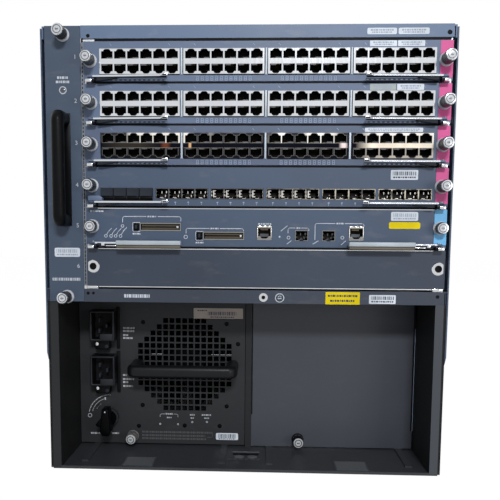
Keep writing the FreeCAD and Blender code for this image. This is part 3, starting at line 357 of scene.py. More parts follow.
black_plastic = plastic("black_plastic", (0.0012, 0.0014, 0.0018), 0.3, specular=0.045)
tray_grip = plastic("tray_grip", (0.002, 0.0022, 0.0028), 0.36, specular=0.08)
grip_plastic = plastic("grip_plastic", (0.008, 0.0085, 0.0095), 0.34, specular=0.16)
inlet_plastic = plastic("inlet_plastic", (0.003, 0.0032, 0.004), 0.35, specular=0.08)
inlet_ledge_and_edge_highlight = plastic("inlet_ledge_and_edge_highlight", (0.02, 0.022, 0.027), 0.4, specular=0.15)
# A dark slate plastic for small dark parts, also used as painted shade under the levers.
dark_and_shade_plastic = plastic("dark_and_shade_plastic", (0.022, 0.026, 0.035), 0.5, specular=0.1)
socket_plastic = plastic("socket_plastic", (0.004, 0.004, 0.005), 0.5, specular=0.08)
slot_brown = plastic("slot_brown", (0.014, 0.0115, 0.0095), 0.5, specular=0.15)
grip_brown_shade = plastic("grip_brown_shade", (0.16, 0.14, 0.11), 0.5, specular=0.2)
guide_plastic = plastic("guide_plastic", (0.04, 0.042, 0.046), 0.5)
lever_plastic = plastic("lever_plastic", (0.47, 0.53, 0.58), 0.38)
plug_rubber = plastic("plug_rubber", (0.022, 0.026, 0.036), 0.6, specular=0.15)
jack_glint_grey = plastic("jack_glint_grey", (0.12, 0.125, 0.13), 0.4, specular=0.3)
slot_rail = plastic("slot_rail", (0.075, 0.062, 0.045), 0.5, specular=0.2)
zinc_screw = plastic("zinc_screw", (0.5, 0.51, 0.52), 0.3, specular=0.6)
zinc_collar = plastic("zinc_collar", (0.58, 0.6, 0.63), 0.3, specular=0.6)
# The sides of the bay screws take a much darker copy of their zinc: painted shade.
zinc_side_shaded = plastic("zinc_side_shaded", (0.16, 0.155, 0.15), 0.35, specular=0.4)
print_white = plastic("print_white", (0.62, 0.66, 0.72), 0.6, specular=0.2)
label_white = plastic("label_white", (0.74, 0.79, 0.86), 0.5, specular=0.3)
gasket_grey = plastic("gasket_grey", (0.2, 0.22, 0.255), 0.5, specular=0.25)
print_blue = plastic("print_blue", (0.36, 0.43, 0.58), 0.6, specular=0.2)
print_grey = plastic("print_grey", (0.5, 0.51, 0.53), 0.6, specular=0.2)
print_dim = plastic("print_dim", (0.09, 0.09, 0.095), 0.6, specular=0.2)
label_faint = plastic("label_faint", (0.4, 0.45, 0.55), 0.6, specular=0.2)
label_green = plastic("label_green", (0.42, 0.48, 0.47), 0.5, specular=0.3)
lamp_dark = plastic("lamp_dark", (0.08, 0.09, 0.11), 0.2, specular=0.5)
label_beige = plastic("label_beige", (0.46, 0.4, 0.36), 0.5, specular=0.3)
label_yellow = plastic("label_yellow", (0.88, 0.68, 0.004), 0.5, specular=0.12)
label_ink = plastic("label_ink", (0.06, 0.07, 0.1), 0.6, specular=0.2)
pink_tab = plastic("pink_tab", (0.72, 0.1, 0.32), 0.5)
blue_tab = plastic("blue_tab", (0.17, 0.5, 0.84), 0.5)
pale_rib = plastic("pale_rib", (0.62, 0.7, 0.8), 0.4)
print("plastics:", [m.name for m in (black_plastic, lever_plastic, print_white, label_white, pink_tab)])

# %% [markdown]
# ## Circuit boards
# A board is green solder mask over copper. The fine lines of a brick pattern stand for the tracks below it.


# %% Solder mask
def board_finish():
    finish = new_finish("solder_mask")
    inputs = {"Vector": finish.place(), "Scale": 90.0, "Mortar Size": 0.04}
    tracks = finish.node("TexBrick", "Fac", {}, inputs)
    cloud = finish.noise(60.0, 4.0)
    mask = finish.mix(finish.span(cloud, 0.3, 0.7), (0.012, 0.07, 0.03), (0.02, 0.1, 0.045))
    return finish.surface(
        Base_Color=finish.mix(tracks * 0.5, mask, (0.05, 0.17, 0.07)),
        Roughness=finish.span(cloud, 0.3, 0.7, 0.3, 0.42),
        Normal=finish.bump(tracks, 0.2, 0.0001),
    )


solder_mask = board_finish()
print("board finish", solder_mask.name)

# %% [markdown]
# ## Finishes on the solids
# Every solid of the frame gets its finish here. Pieces made further down hide some of them again.

# %% Assign finishes
SLOT_FINISH = {
    "chassis_paint": slate,
    "panel_paint": slate,
    "bay_paint": bay_paint,
    "cover_paint": cover_paint,
    "bare_steel": bare_steel,
    "nickel": nickel,
    "shield": shield_bright,
    "lever_metal": lever_steel,
    "lever_plastic": lever_plastic,
    "black_plastic": black_plastic,
    "guide_plastic": guide_plastic,
    "board": solder_mask,
}
NODE_FINISH = {
    "top_panel": slate_top_toned_and_lit,
    "card_1_faceplate": slate_toned_and_lit,
    "card_2_faceplate": slate_toned_and_lit,
    "card_3_faceplate": slate_third_toned_and_lit,
    "fan_tray_panel": slate_tray,
    "filler_panel": slate_deep_toned_and_shaded,
    "mid_shelf": slate_shelf_toned_and_shaded,
    "base_pan": floor_paint,
    "psu_front_panel": supply_paint,
    "left_side_wall": left_wall_shaded,
    "right_side_wall": right_wall_shaded_and_lit,
}
for part in frame["record"]["subparts"]:
    solid = frame["nodes"][part["node"]]
    solid.data.materials.clear()
    solid.data.materials.append(NODE_FINISH.get(part["node"], SLOT_FINISH[part["material_slot"]]))

# %% [markdown]
# ## Making a piece
# Each piece is one bmesh. These helpers start shapes from a cube, a face or a profile, and `piece` turns the
# finished bmesh into an object that rides on its body.


# %% Small helpers
def give_finish(verts, finish):
    for face in {face for vert in verts for face in vert.link_faces}:
        face.material_index = finish


def only(items, kind):
    """The items of one kind among what an operator made."""
    return [item for item in items if isinstance(item, kind)]


def open_edges(edges):
    return [edge for edge in edges if edge.is_boundary]


def round_off(bm, edges, radius, segments=2):
    bmesh.ops.bevel(
        bm, geom=edges, offset=radius, affect="EDGES", segments=segments, profile=0.5, material=-1
    )


# %% Starting shapes
def block(bm, low, high, finish=0, edge=0.0, segments=2):
    """A box between two corners, with rounded edges if an edge radius is given."""
    verts = bmesh.ops.create_cube(bm, size=1.0)["verts"]
    size = Vector(high) - Vector(low)
    bmesh.ops.scale(bm, vec=size, verts=verts)
    bmesh.ops.translate(bm, vec=(Vector(high) + Vector(low)) / 2, verts=verts)
    give_finish(verts, finish)
    if edge:
        round_off(bm, list({line for vert in verts for line in vert.link_edges}), edge, segments)


def sheet(bm, points, thickness, finish=0):
    """A face through a few points, extruded along a vector."""
    verts = [bm.verts.new(point) for point in points]
    made = bmesh.ops.extrude_face_region(bm, geom=[bm.faces.new(verts)])["geom"]
    moved = only(made, bmesh.types.BMVert)
    bmesh.ops.translate(bm, vec=thickness, verts=moved)
    give_finish(verts + moved, finish)
    whole = {face for vert in verts + moved for face in vert.link_faces}
    bmesh.ops.recalc_face_normals(bm, faces=list(whole))


def rounded_sheet(bm, points, thickness, radius, segments, finish=0):
    """A sheet with all its edges rounded."""
    before = set(bm.edges)
    sheet(bm, points, thickness, finish)
    round_off(bm, [edge for edge in bm.edges if edge not in before], radius, segments)


def lathe(bm, profile, x, z, steps, finish=0):
    """A profile of (radius, y) pairs turned about a line along y."""
    verts = [bm.verts.new((x + radius, y, z)) for radius, y in profile]
    edges = [bm.edges.new(pair) for pair in zip(verts, verts[1:])]
    before = set(bm.faces)
    bmesh.ops.spin(
        bm, geom=verts + edges, cent=(x, 0, z), axis=(0, 1, 0), angle=2 * math.pi, steps=steps,
        use_merge=True,
    )
    faces = [face for face in bm.faces if face not in before]
    corners = list({vert for face in faces for vert in face.verts})
    bmesh.ops.remove_doubles(bm, verts=corners, dist=0.001)
    faces = [face for face in bm.faces if face not in before]
    bmesh.ops.recalc_face_normals(bm, faces=faces)
    for face in faces:
        face.material_index = finish
    return faces


def rod(bm, place, radius, length, axis, sides=16, finish=0, tip=None):
    """A round rod or cone that starts at a place and runs along an axis."""
    direction = Vector(axis).normalized()
    turn = direction.to_track_quat("Z", "Y").to_matrix().to_4x4()
    middle = Vector(place) + direction * length / 2
    made = bmesh.ops.create_cone(
        bm, cap_ends=True, segments=sides, radius1=radius, radius2=radius if tip is None else tip,
        depth=length, matrix=Matrix.Translation(middle) @ turn,
    )
    give_finish(made["verts"], finish)


# %% From bmesh to piece
def stamp(bm, mesh, offset, flip=False):
    """Adds a copy of a small mesh, moved, and turned upside down about its own middle if asked."""
    placed = mesh.copy()
    turn = Matrix.Rotation(math.pi if flip else 0.0, 4, "Y")
    placed.transform(Matrix.Translation(offset) @ turn)
    bm.from_mesh(placed)
    bpy.data.meshes.remove(placed)


def small_mesh(bm, name):
    """A bmesh kept as a mesh to be stamped many times."""
    mesh = bpy.data.meshes.new(name)
    bm.to_mesh(mesh)
    bm.free()
    return mesh


def piece(bm, name, body, finishes, replaces=(), sharp=35.0):
    """Turns a bmesh in millimetres into an object in the frame that rides on a body."""
    bmesh.ops.scale(bm, vec=(MM, MM, MM), verts=bm.verts)
    bmesh.ops.translate(bm, vec=(0, FRONT, 0), verts=bm.verts)
    mesh = bpy.data.meshes.new(name)
    bm.to_mesh(mesh)
    bm.free()
    for finish in finishes:
        mesh.materials.append(finish)
    mesh.shade_smooth()
    mesh.set_sharp_from_angle(angle=math.radians(sharp))
    made = bpy.data.objects.new(name, mesh)
    bpy.context.scene.collection.objects.link(made)
    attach(made, body)
    if replaces:
        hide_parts(*replaces)
    print(name, len(mesh.polygons), "faces on", body)


# %% [markdown]
# ## Copper jacks
# A modular jack is a dark plastic well behind a bright shield with a T shaped mouth: the stem of the T
# takes the plug's latch. One cell is drawn once: the shield is the area between its border and the T,
# filled by an operator, the well is the T pulled inwards, and eight gold contacts lie on its floor. Six
# cells by two make a gang.

# %% Sizes of a jack
JACK_COLUMNS = 6
JACK_PITCH = 14.0
GANG_WIDTH = 86.4
GANG_HEIGHT = 26.4
GANG_PITCH = 90.2
GANG_DROP = 7.6
GANG_DEPTH = 34.0
GANGS = range(4)
SHIELD_FRONT = -0.5
CELL_HEIGHT = GANG_HEIGHT / 2
MOUTH_HALF = 6.2
MOUTH_FLOOR = 2.8
MOUTH_SHOULDER = 10.3
LATCH_HALF = 4.1
LATCH_CROWN = 12.75
MOUTH_RIM = 0.35
LIP_DEPTH = 0.5
WELL_DEPTH = 12.5
CONTACT_PITCH = 1.02
CONTACT_HALF = 0.26
CONTACT_THICKNESS = 0.25
CONTACT_START = (2.0, MOUTH_FLOOR + 0.4)
CONTACT_END = (9.5, MOUTH_FLOOR + 4.8)
SHIELD, WELL, CONTACT, RIM, TRAY = range(5)
CONTACTS = [(index - 3.5) * CONTACT_PITCH for index in range(8)]
print("a gang of jacks measures", GANG_WIDTH, "by", GANG_HEIGHT, "mm")


# %% Outlines pulled into wells
def mouth_outline():
    """The T shaped mouth, with a round crown over the latch notch."""
    right = [
        (MOUTH_HALF, MOUTH_FLOOR),
        (MOUTH_HALF, MOUTH_SHOULDER),
        (LATCH_HALF, MOUTH_SHOULDER + 0.2),
        (LATCH_HALF - 0.8, LATCH_CROWN - 0.8),
        (LATCH_HALF - 2.1, LATCH_CROWN),
    ]
    return right + [(-across, up) for across, up in reversed(right)]


def ring(bm, points):
    """A closed loop of edges through points in the plane of the shield."""
    verts = [bm.verts.new((across, SHIELD_FRONT, up)) for across, up in points]
    return [bm.edges.new(pair) for pair in zip(verts, verts[1:] + verts[:1])]


def pull_in(bm, edges, depth, finish):
    """Extrudes a loop of edges inwards and returns the new loop."""
    made = bmesh.ops.extrude_edge_only(bm, edges=edges)["geom"]
    bmesh.ops.translate(bm, vec=(0, depth, 0), verts=only(made, bmesh.types.BMVert))
    for face in only(made, bmesh.types.BMFace):
        face.material_index = finish
    return only(made, bmesh.types.BMEdge)


def dark_well(bm, mouth, lip, depth, lip_finish):
    """Pulls a mouth in: first its lip, then a well with a closed end."""
    rim = pull_in(bm, mouth, lip, lip_finish)
    back = pull_in(bm, open_edges(rim), depth, WELL)
    for face in bmesh.ops.edgeloop_fill(bm, edges=open_edges(back))["faces"]:
        face.material_index = WELL


# %% One jack
def jack_cell():
    bm = bmesh.new()
    half = JACK_PITCH / 2
    border = ring(bm, [(-half, 0), (half, 0), (half, CELL_HEIGHT), (-half, CELL_HEIGHT)])
    middle = (MOUTH_FLOOR + LATCH_CROWN) / 2
    wide = 1 + MOUTH_RIM / MOUTH_HALF
    tall = 1 + MOUTH_RIM / (LATCH_CROWN - middle)
    rim = ring(bm, [(across * wide, middle + (up - middle) * tall) for across, up in mouth_outline()])
    mouth = ring(bm, mouth_outline())
    bmesh.ops.triangle_fill(bm, use_beauty=True, edges=border + rim)
    for face in bmesh.ops.bridge_loops(bm, edges=rim + mouth)["faces"]:
        face.material_index = RIM
    dark_well(bm, mouth, LIP_DEPTH, WELL_DEPTH, RIM)
    bmesh.ops.recalc_face_normals(bm, faces=bm.faces)
    front = min(bm.faces, key=lambda face: face.calc_center_median().y)
    if front.normal.y > 0:
        bmesh.ops.reverse_faces(bm, faces=bm.faces)
    for across in CONTACTS:
        left, right = across - CONTACT_HALF, across + CONTACT_HALF
        ramp = [(left, *CONTACT_START), (right, *CONTACT_START), (right, *CONTACT_END), (left, *CONTACT_END)]
        sheet(bm, ramp, (0, 0, CONTACT_THICKNESS), CONTACT)
    # The pale grey block on the floor of the well is a painted glint of the contacts.
    block(bm, (-0.4, 0.2, MOUTH_FLOOR), (5.4, 1.6, MOUTH_FLOOR + 1.3), TRAY)
    return small_mesh(bm, "jack_cell")


jack = jack_cell()
print("a jack has", len(jack.polygons), "faces")

# %% [markdown]
# ## Gangs of jacks
# The cells are stamped in two rows, the lower one upside down so that its latches face down. The border of
# the joined front is then pulled back into a shell, which closes the gang to the depth of its solid.


# %% The three copper cards
def gang_mesh():
    bm = bmesh.new()
    for column in range(JACK_COLUMNS):
        place = ((column - (JACK_COLUMNS - 1) / 2) * JACK_PITCH, 0, 0)
        stamp(bm, jack, place)
        stamp(bm, jack, place, flip=True)
    bmesh.ops.remove_doubles(bm, verts=bm.verts, dist=0.01)
    for side in (-1, 1):
        left, right = sorted((side * JACK_COLUMNS * JACK_PITCH / 2, side * GANG_WIDTH / 2))
        block(bm, (left, SHIELD_FRONT, -CELL_HEIGHT), (right, 12.0, CELL_HEIGHT))
    back = pull_in(bm, open_edges(bm.edges), GANG_DEPTH, SHIELD)
    bmesh.ops.edgeloop_fill(bm, edges=open_edges(back))
    return small_mesh(bm, "jack_gang")


def gang_middle(index):
    return PANEL_CENTRE + (index - 1.5) * GANG_PITCH


gang = gang_mesh()
for card in COPPER_CARDS:
    bm = bmesh.new()
    for index in GANGS:
        stamp(bm, gang, (gang_middle(index), 0, slot_top(card) - GANG_DROP - CELL_HEIGHT))
    # The third card takes the shields with painted reflections.
    shield, rim = (shield_with_reflections, rim_dim) if card == 3 else (shield_bright, shield_bright)
    finishes = [shield, socket_plastic, contact_gold, rim, jack_glint_grey]
    piece(bm, f"card_{card}_jack_gangs", f"card_{card}", finishes, [f"card_{card}_jacks"])

# %% [markdown]
# ## Thumbscrews
# Each captive screw is a turned collar and a knurled knob with a screwdriver slot. The knob is a lathe
# profile; insetting its side faces one by one raises the pads of the knurl, and a dark bar across the end
# stands for the slot. The knob's side, its grooves and the slot are much darker copies of its face's metal:
# painted shade.

# %% One thumbscrew
SCREW_OFFSET = 188.6
SCREW_DROP = 20.0
SCREW_REACH = 21.5
BAY_SCREW_REACH = 17.5
TIGHT_SCREW_REACH = 13.4
TRAY_SCREWS = [(-197.0, 0, height) for height in (197.6, 478.4)]
KNOB_END, KNOB_GROOVE_SHADED, KNOB_SIDE_SHADED, COLLAR = range(4)


def thumbscrew_mesh(reach):
    """A captive screw on the plane y = 0 whose knob ends at a reach in front of it."""
    bm = bmesh.new()
    lathe(bm, [(0, 0), (7.4, 0), (7.4, -1.3), (6.0, -2.9), (3.6, -2.9)], 0, 0, 32, COLLAR)
    lathe(bm, [(3.7, -2.6), (3.7, -5.0)], 0, 0, 20, KNOB_GROOVE_SHADED)
    waist = -(reach + 3.3) / 2
    knob = [(3.2, -4.4), (5.8, -4.4), (6.2, -4.9), (6.2, waist), (6.2, 1.6 - reach), (6.0, 1.0 - reach)]
    turned = lathe(bm, knob, 0, 0, 28, KNOB_SIDE_SHADED)
    lathe(bm, [(6.0, 1.0 - reach), (5.4, 0.1 - reach), (4.5, -reach)], 0, 0, 28, KNOB_END)
    groove = [(4.5, -reach), (4.3, 0.4 - reach), (3.7, 0.4 - reach), (3.6, -reach)]
    lathe(bm, groove, 0, 0, 28, KNOB_GROOVE_SHADED)
    centre = [(3.6, -reach), (1.4, -reach - 0.1), (1.1, 0.4 - reach), (0, 0.4 - reach)]
    lathe(bm, centre, 0, 0, 20, KNOB_END)
    grips = [face for face in turned if abs(face.normal.y) < 0.1 and face.calc_area() > 2.0]
    bmesh.ops.inset_individual(bm, faces=grips, thickness=0.24, depth=0.2)
    # A dark bar across the end stands for the screwdriver slot: painted shade.
    block(bm, (-1.8, -reach - 0.25, -0.4), (1.8, 0.2 - reach, 0.4), KNOB_GROOVE_SHADED)
    return small_mesh(bm, "thumbscrew")


# %% Thumbscrews of the cards and the fan tray
thumbscrew = thumbscrew_mesh(SCREW_REACH)
bay_thumbscrew = thumbscrew_mesh(BAY_SCREW_REACH)
tight_thumbscrew = thumbscrew_mesh(TIGHT_SCREW_REACH)
SCREW_FINISHES = [screw_face, screw_groove_shaded, screw_side_shaded, zinc_collar]


def thumbscrews(name, body, places, replaced=(), mesh=thumbscrew, finishes=SCREW_FINISHES):
    bm = bmesh.new()
    for place in places:
        stamp(bm, mesh, place)
    piece(bm, name, body, finishes, replaced, 40.0)


for card in CARDS:
    height = slot_top(card) - SCREW_DROP
    ends = [(PANEL_CENTRE + side * SCREW_OFFSET, 0, height) for side in (-1, 1)]
    turned = tight_thumbscrew if card == 5 else thumbscrew
    thumbscrews(f"card_{card}_thumbscrews", f"card_{card}", ends, [f"card_{card}_screws"], turned)
thumbscrews("fan_tray_thumbscrews", "fan_tray", TRAY_SCREWS, ["fan_tray_screws"])

# %% [markdown]
# ## Handles
# Both handles are moulded bows. The bow is one face through eight points, pulled to its width. Its bends
# are bevelled with a large radius first, then every edge along it with a smaller one, so that the section
# comes out almost round.


# %% Bow handles
def bow_points(low, high, front, bar, foot, seat):
    """The side view of a bow between two ends, with the thickness of its bar and its feet."""
    return [
        (low, seat), (low, front), (high, front), (high, seat),
        (high - foot, seat), (high - foot, front + bar), (low + foot, front + bar), (low + foot, seat),
    ]


def edges_along(bm, axis, front, back):
    """Edges that run along an axis, at a depth between two values."""
    found = []
    for edge in bm.edges:
        run = (edge.verts[1].co - edge.verts[0].co).normalized()
        if abs(run.dot(axis)) > 0.99 and front < edge.verts[0].co.y < back:
            found.append(edge)
    return found


def bow(bm, points, width, seat, bend, edge):
    sheet(bm, points, width)
    axis = Vector(width).normalized()
    front = min(vert.co.y for vert in bm.verts)
    round_off(bm, edges_along(bm, axis, front - 0.1, front + 0.1), bend, 8)
    round_off(bm, edges_along(bm, axis, front + bend + 0.1, seat - 0.1), bend * 0.4, 4)
    rim = []
    for line in bm.edges:
        run = (line.verts[1].co - line.verts[0].co).normalized()
        flat = max(vert.co.y for vert in line.verts) > seat - 0.1 and abs(run.y) < 0.1
        if abs(run.dot(axis)) < 0.1 and line.calc_face_angle(0.0) > 1.3 and not flat:
            rim.append(line)
    round_off(bm, rim, edge, 5)


BOW_BAR = 13.0
BOW_FOOT = 14.0
BOW_BEND = 12.0
bm = bmesh.new()
fan_bow = [(-204.0, along, up) for up, along in bow_points(275.0, 397.0, -30.0, BOW_BAR, BOW_FOOT, 0.0)]
bow(bm, fan_bow, (13.0, 0, 0), 0.0, BOW_BEND, 5.4)
# A dark plate on the panel behind the bow is painted shade behind the bar.
block(bm, (-203.6, -0.6, 275.5), (-190.4, 0.0, 396.5), 0, 0.25)
piece(bm, "fan_tray_grip", "fan_tray", [tray_grip], ["fan_tray_handle"], 50.0)

bm = bmesh.new()
psu_bow = [(across, along, 97.0) for across, along in bow_points(-141.0, -9.0, 38.0, BOW_BAR, BOW_FOOT, BAY)]
bow(bm, psu_bow, (0, 0, 15.0), BAY, BOW_BEND, 5.5)
piece(bm, "psu_grip", "psu", [grip_plastic], ["psu_handle"], 50.0)

# %% [markdown]
# ## Ejector levers
# A lever is a flat plate that swings about an upright pin at the end of its card. Its rim and tip are
# bright, and its lower face is dark as painted shade, so the plate gets its finishes by the direction of its
# faces. A dark web under the plate and a dark wedge below its root are painted shade too.
# Both levers of a card come from the same distances, counted from the middle of the panel to one side or
# the other.

# %% Sizes of a lever
LEVER_OFFSET = 187.0
LEVER_TIP = 103.5
LEVER_TOP_DROP = 36.9
LEVER_THICKNESS = 2.0
LEVER_PIVOT_Y = -4.8
LEVER_BOSS = 4.2
LEVER_BRIGHT = 184.0
LEVER_ROOT = LEVER_OFFSET + LEVER_BOSS - 1.6
FACING_DOWN = -0.6
PIN_DROP = 39.7
LEVER_PLAN = (
    (LEVER_OFFSET, -0.6), (LEVER_ROOT, LEVER_PIVOT_Y), (LEVER_ROOT, -9.0), (LEVER_TIP + 8, -12.6),
    (LEVER_TIP + 6, -14.6), (LEVER_TIP, -14.6), (LEVER_TIP, -11.2), (LEVER_TIP + 7, -9.0),
    (LEVER_OFFSET - 14, -3.6), (LEVER_OFFSET - 8, -0.6),
)
LEVER_SHADE_WEB = (
    (179.8, -1.8), (179.8, -8.0), (LEVER_TIP + 7, -11.0), (LEVER_TIP + 2, -11.0), (LEVER_TIP + 2, -1.8),
)
LEVER_SHADE_WEDGE = ((179.8, 0.1), (179.8, -3.4), (176.0, -3.6), (158.0, -0.9), (158.0, 0.1))
PLATE, DARK_AND_SHADE, GRIP, GRIP_SHADE, ROOT = range(5)
print("a lever is", LEVER_ROOT - LEVER_TIP, "mm long")


# %% One lever
def aside(side, distance):
    """The x of a point at a distance from the panel's middle, to the left (-1) or the right (1)."""
    return PANEL_CENTRE + side * distance


def stretch_aside(side, near, far):
    return sorted((aside(side, near), aside(side, far)))


def lever_plate(bm, side, bottom):
    sheet(bm, [(aside(side, far), along, bottom) for far, along in LEVER_PLAN], (0, 0, LEVER_THICKNESS))
    round_off(bm, list(bm.edges), 0.25, 2)
    bmesh.ops.bisect_plane(
        bm, geom=bm.verts[:] + bm.edges[:] + bm.faces[:],
        plane_co=(aside(side, LEVER_BRIGHT), 0, 0), plane_no=(1, 0, 0),
    )
    # Faces that look down take the dark finish: painted shade.
    for face in bm.faces:
        at_root = side * (face.calc_center_median().x - PANEL_CENTRE) > LEVER_BRIGHT
        below = DARK_AND_SHADE if face.normal.z < FACING_DOWN else PLATE
        face.material_index = ROOT if at_root else below
    # The web and the wedge below are dark sheets of painted shade.
    sheet(bm, [(aside(side, far), along, bottom + 0.5) for far, along in LEVER_SHADE_WEB], (0, 0, 0.6), DARK_AND_SHADE)
    sheet(bm, [(aside(side, far), -8.6, bottom + up) for far, up in LEVER_SHADE_WEDGE], (0, 4.4, 0), DARK_AND_SHADE)


# %% [markdown]
# The levers of the control card also have a pale plastic grip, and a small bright linkage beside it. The
# brown block under the grip and the grip's lower faces are painted shade.

# %% The grip of the control card's levers
GRIP_ENDS = (160.0, 90.0)
GRIP_RISE = 1.6
GRIP_SECTION = ((-16.0, 0.0), (-16.0, -4.9), (-6.0, -5.4), (-6.0, 0.0))
LINKAGE = (
    (162.0, 176.0, -10.2, 1.3, 1.0, PLATE),
    (173.2, 176.6, -11.2, 4.0, 3.4, PLATE),
    (160.5, 172.0, -9.8, 4.6, 0.9, PLATE),
    (177.0, 181.5, -9.6, 3.6, 2.4, DARK_AND_SHADE),
)


def control_grip(bm, side, lever_top):
    """Each link has its two ends, its front, its drop and rise from the lever's top, and its finish."""
    left, right = stretch_aside(side, *GRIP_ENDS)
    top = lever_top + GRIP_RISE
    # The brown block under the grip is painted shade.
    block(bm, (left + 0.6, -14.4, top - 7.8), (right - 0.6, -6.0, top - 5.0), GRIP_SHADE, 0.3)
    section = [(left, along, top + up) for along, up in GRIP_SECTION]
    rounded_sheet(bm, section, (right - left, 0, 0), 0.9, 3, GRIP)
    for face in bm.faces:
        if face.material_index == GRIP and face.normal.z < FACING_DOWN:
            face.material_index = GRIP_SHADE
    for near, far, front, drop, rise, finish in LINKAGE:
        left, right = stretch_aside(side, near, far)
        low = lever_top - drop
        block(bm, (left, front, low), (right, front + 2.4, low + rise), finish, 0.2)


# %% Ejector levers
def lever(card, side, side_name):
    bm = bmesh.new()
    top = slot_top(card) - LEVER_TOP_DROP
    bottom = top - LEVER_THICKNESS
    lever_plate(bm, side, bottom)
    pivot = aside(side, LEVER_OFFSET)
    pin_length = bottom - slot_top(card) + PIN_DROP
    rod(bm, (pivot, LEVER_PIVOT_Y, bottom), LEVER_BOSS - 0.3, pin_length, (0, 0, -1), 20, DARK_AND_SHADE)
    rod(bm, (pivot, LEVER_PIVOT_Y, top), 2.6, 0.9, (0, 0, 1), 16, PLATE, 2.0)
    left, right = stretch_aside(side, LEVER_TIP, LEVER_TIP + 6.0)
    block(bm, (left, -14.6, bottom), (right, -11.6, top + 1.1), PLATE, 0.4)
    if card == 5:
        control_grip(bm, side, top)
    finishes = [lever_steel, dark_and_shade_plastic, lever_plastic, grip_brown_shade, slate_toned_and_lit if card < 4 else slate]
    name = f"card_{card}_lever_{side_name}"
    piece(bm, f"card_{card}_ejector_{side_name}", name, finishes, [name])


for card in CARDS:
    lever(card, -1, "left")
    lever(card, 1, "right")

# %% [markdown]
# ## Print
# Printed lines, rings and marks are thin solids that stand a tenth of a millimetre proud. A line of small
# print is a row of short dashes of uneven length.

# %% Print helpers
INK = 0.12
LINE = 0.7
BRACKET_BEND = 1.4
DASH_GAP = 0.7
DASHES = (2.2, 1.3, 2.8, 0.9, 1.7, 2.4, 1.1)


def bar(bm, left, right, low, high, y=0.0, finish=0):
    block(bm, (left, y - INK, low), (right, y + 0.05, high), finish)


def stroke(bm, start, end, width, y=0.0, finish=0):
    """A straight line between two points of the front."""
    run = Vector((end[0] - start[0], 0, end[1] - start[1]))
    middle = Vector(((start[0] + end[0]) / 2, y - INK / 2, (start[1] + end[1]) / 2))
    turn = Matrix.Rotation(-math.atan2(run.z, run.x), 4, "Y")
    size = Matrix.Diagonal((run.length + width, INK, width, 1.0))
    made = bmesh.ops.create_cube(bm, size=1.0, matrix=Matrix.Translation(middle) @ turn @ size)
    give_finish(made["verts"], finish)


def path(bm, points, width, y=0.0, finish=0):
    for start, end in zip(points, points[1:]):
        stroke(bm, start, end, width, y, finish)


def circle(bm, x, z, radius, width, y=0.0, finish=0, sides=20):
    inner, outer = radius - width / 2, radius + width / 2
    lathe(bm, [(inner, y), (inner, y - INK), (outer, y - INK), (outer, y)], x, z, sides, finish)


def dashes(bm, left, right, low, high, y=0.0, finish=0, start=0):
    """A line of uneven dashes."""
    index = start
    while left < right:
        width = min(DASHES[index % len(DASHES)], right - left)
        bar(bm, left, left + width, low, high, y, finish)
        left += width + DASH_GAP
        index += 1


def bracket(bm, left, right, top, left_foot, right_foot, gap, y=0.0, finish=0):
    """A printed bracket over a port, with a row of dashes in the gap of its top line."""
    corner = top - BRACKET_BEND
    start = [(left, left_foot), (left, corner), (left + BRACKET_BEND, top), (gap[0], top)]
    end = [(gap[1], top), (right - BRACKET_BEND, top), (right, corner), (right, right_foot)]
    path(bm, start, LINE, y, finish)
    path(bm, end, LINE, y, finish)
    dashes(bm, gap[0] + 1.5, gap[1] - 1.5, top - 0.8, top + 0.8, y, finish)


print("dashes repeat after", sum(DASHES) + DASH_GAP * len(DASHES), "mm")

# %% [markdown]
# ## Trim on the copper cards
# Pale ribs stand between the gangs, with a dark strip of painted shade in the gap on each side. Below the
# jacks runs a dark line, and under that lie the printed port marks: small ones under the outer gangs and
# taller pairs under the inner gangs.

# %% The lower edge of every card
GAP_LEFT = -162.0
GAP_RIGHT = 203.0
CATCH_ENDS = ((-173.6, -162.8), (203.4, 214.8))


def card_foot(bm, card, bright, dark):
    """Catches at the corners, caps on the ears that carry the lever pins, and a dark sheet in the gap below
    the card; the sheet and the inner part of each cap are painted shade.
    """
    top = slot_top(card)
    for left, right in CATCH_ENDS:
        block(bm, (left, -0.9, top - 43.5), (right, 0.3, top - 39.6), bright, 0.5)
    for side in (-1, 1):
        for inner, outer, finish in ((-1.6, 4.7, bright), (-4.7, -1.6, dark)):
            left, right = stretch_aside(side, LEVER_OFFSET + inner, LEVER_OFFSET + outer)
            block(bm, (left, -9.5, top - 43.9), (right, -1.0, top - 40.9), finish, 0.3)
    block(bm, (GAP_LEFT, 0.2, top - SLOT_PITCH), (GAP_RIGHT, 1.2, top - 42.1), dark)


def top_line(bm, slot, finish):
    """A thin line along the upper edge of a panel."""
    bar(bm, GAP_LEFT, GAP_RIGHT, slot_top(slot) - 0.85, slot_top(slot) - 0.05, 0.0, finish)


# %% Trim on the copper cards
GANG_LOW = GANG_DROP + GANG_HEIGHT
MARKS = 12
MARK_PITCH = 5.1
PAIR_TOP = 36.2
PAIR_LOW = 40.4
RIB, DARK, WHITE_MARK, BLUE_MARK, BRIGHT = range(5)


def port_marks(bm, middle, top, outer):
    for column in range(MARKS):
        across = middle + (column - (MARKS - 1) / 2) * MARK_PITCH
        if outer:
            bar(bm, across - 1.3, across + 1.1, top - 40.7, top - 39.7, 0.0, WHITE_MARK)
            continue
        for drop in (PAIR_TOP, 38.4, PAIR_LOW):
            bar(bm, across - 1.4, across + 1.4, top - drop - 0.5, top - drop, 0.0, BLUE_MARK)
        for edge in (across - 1.4, across + 0.9):
            bar(bm, edge, edge + 0.5, top - PAIR_LOW, top - PAIR_TOP, 0.0, BLUE_MARK)


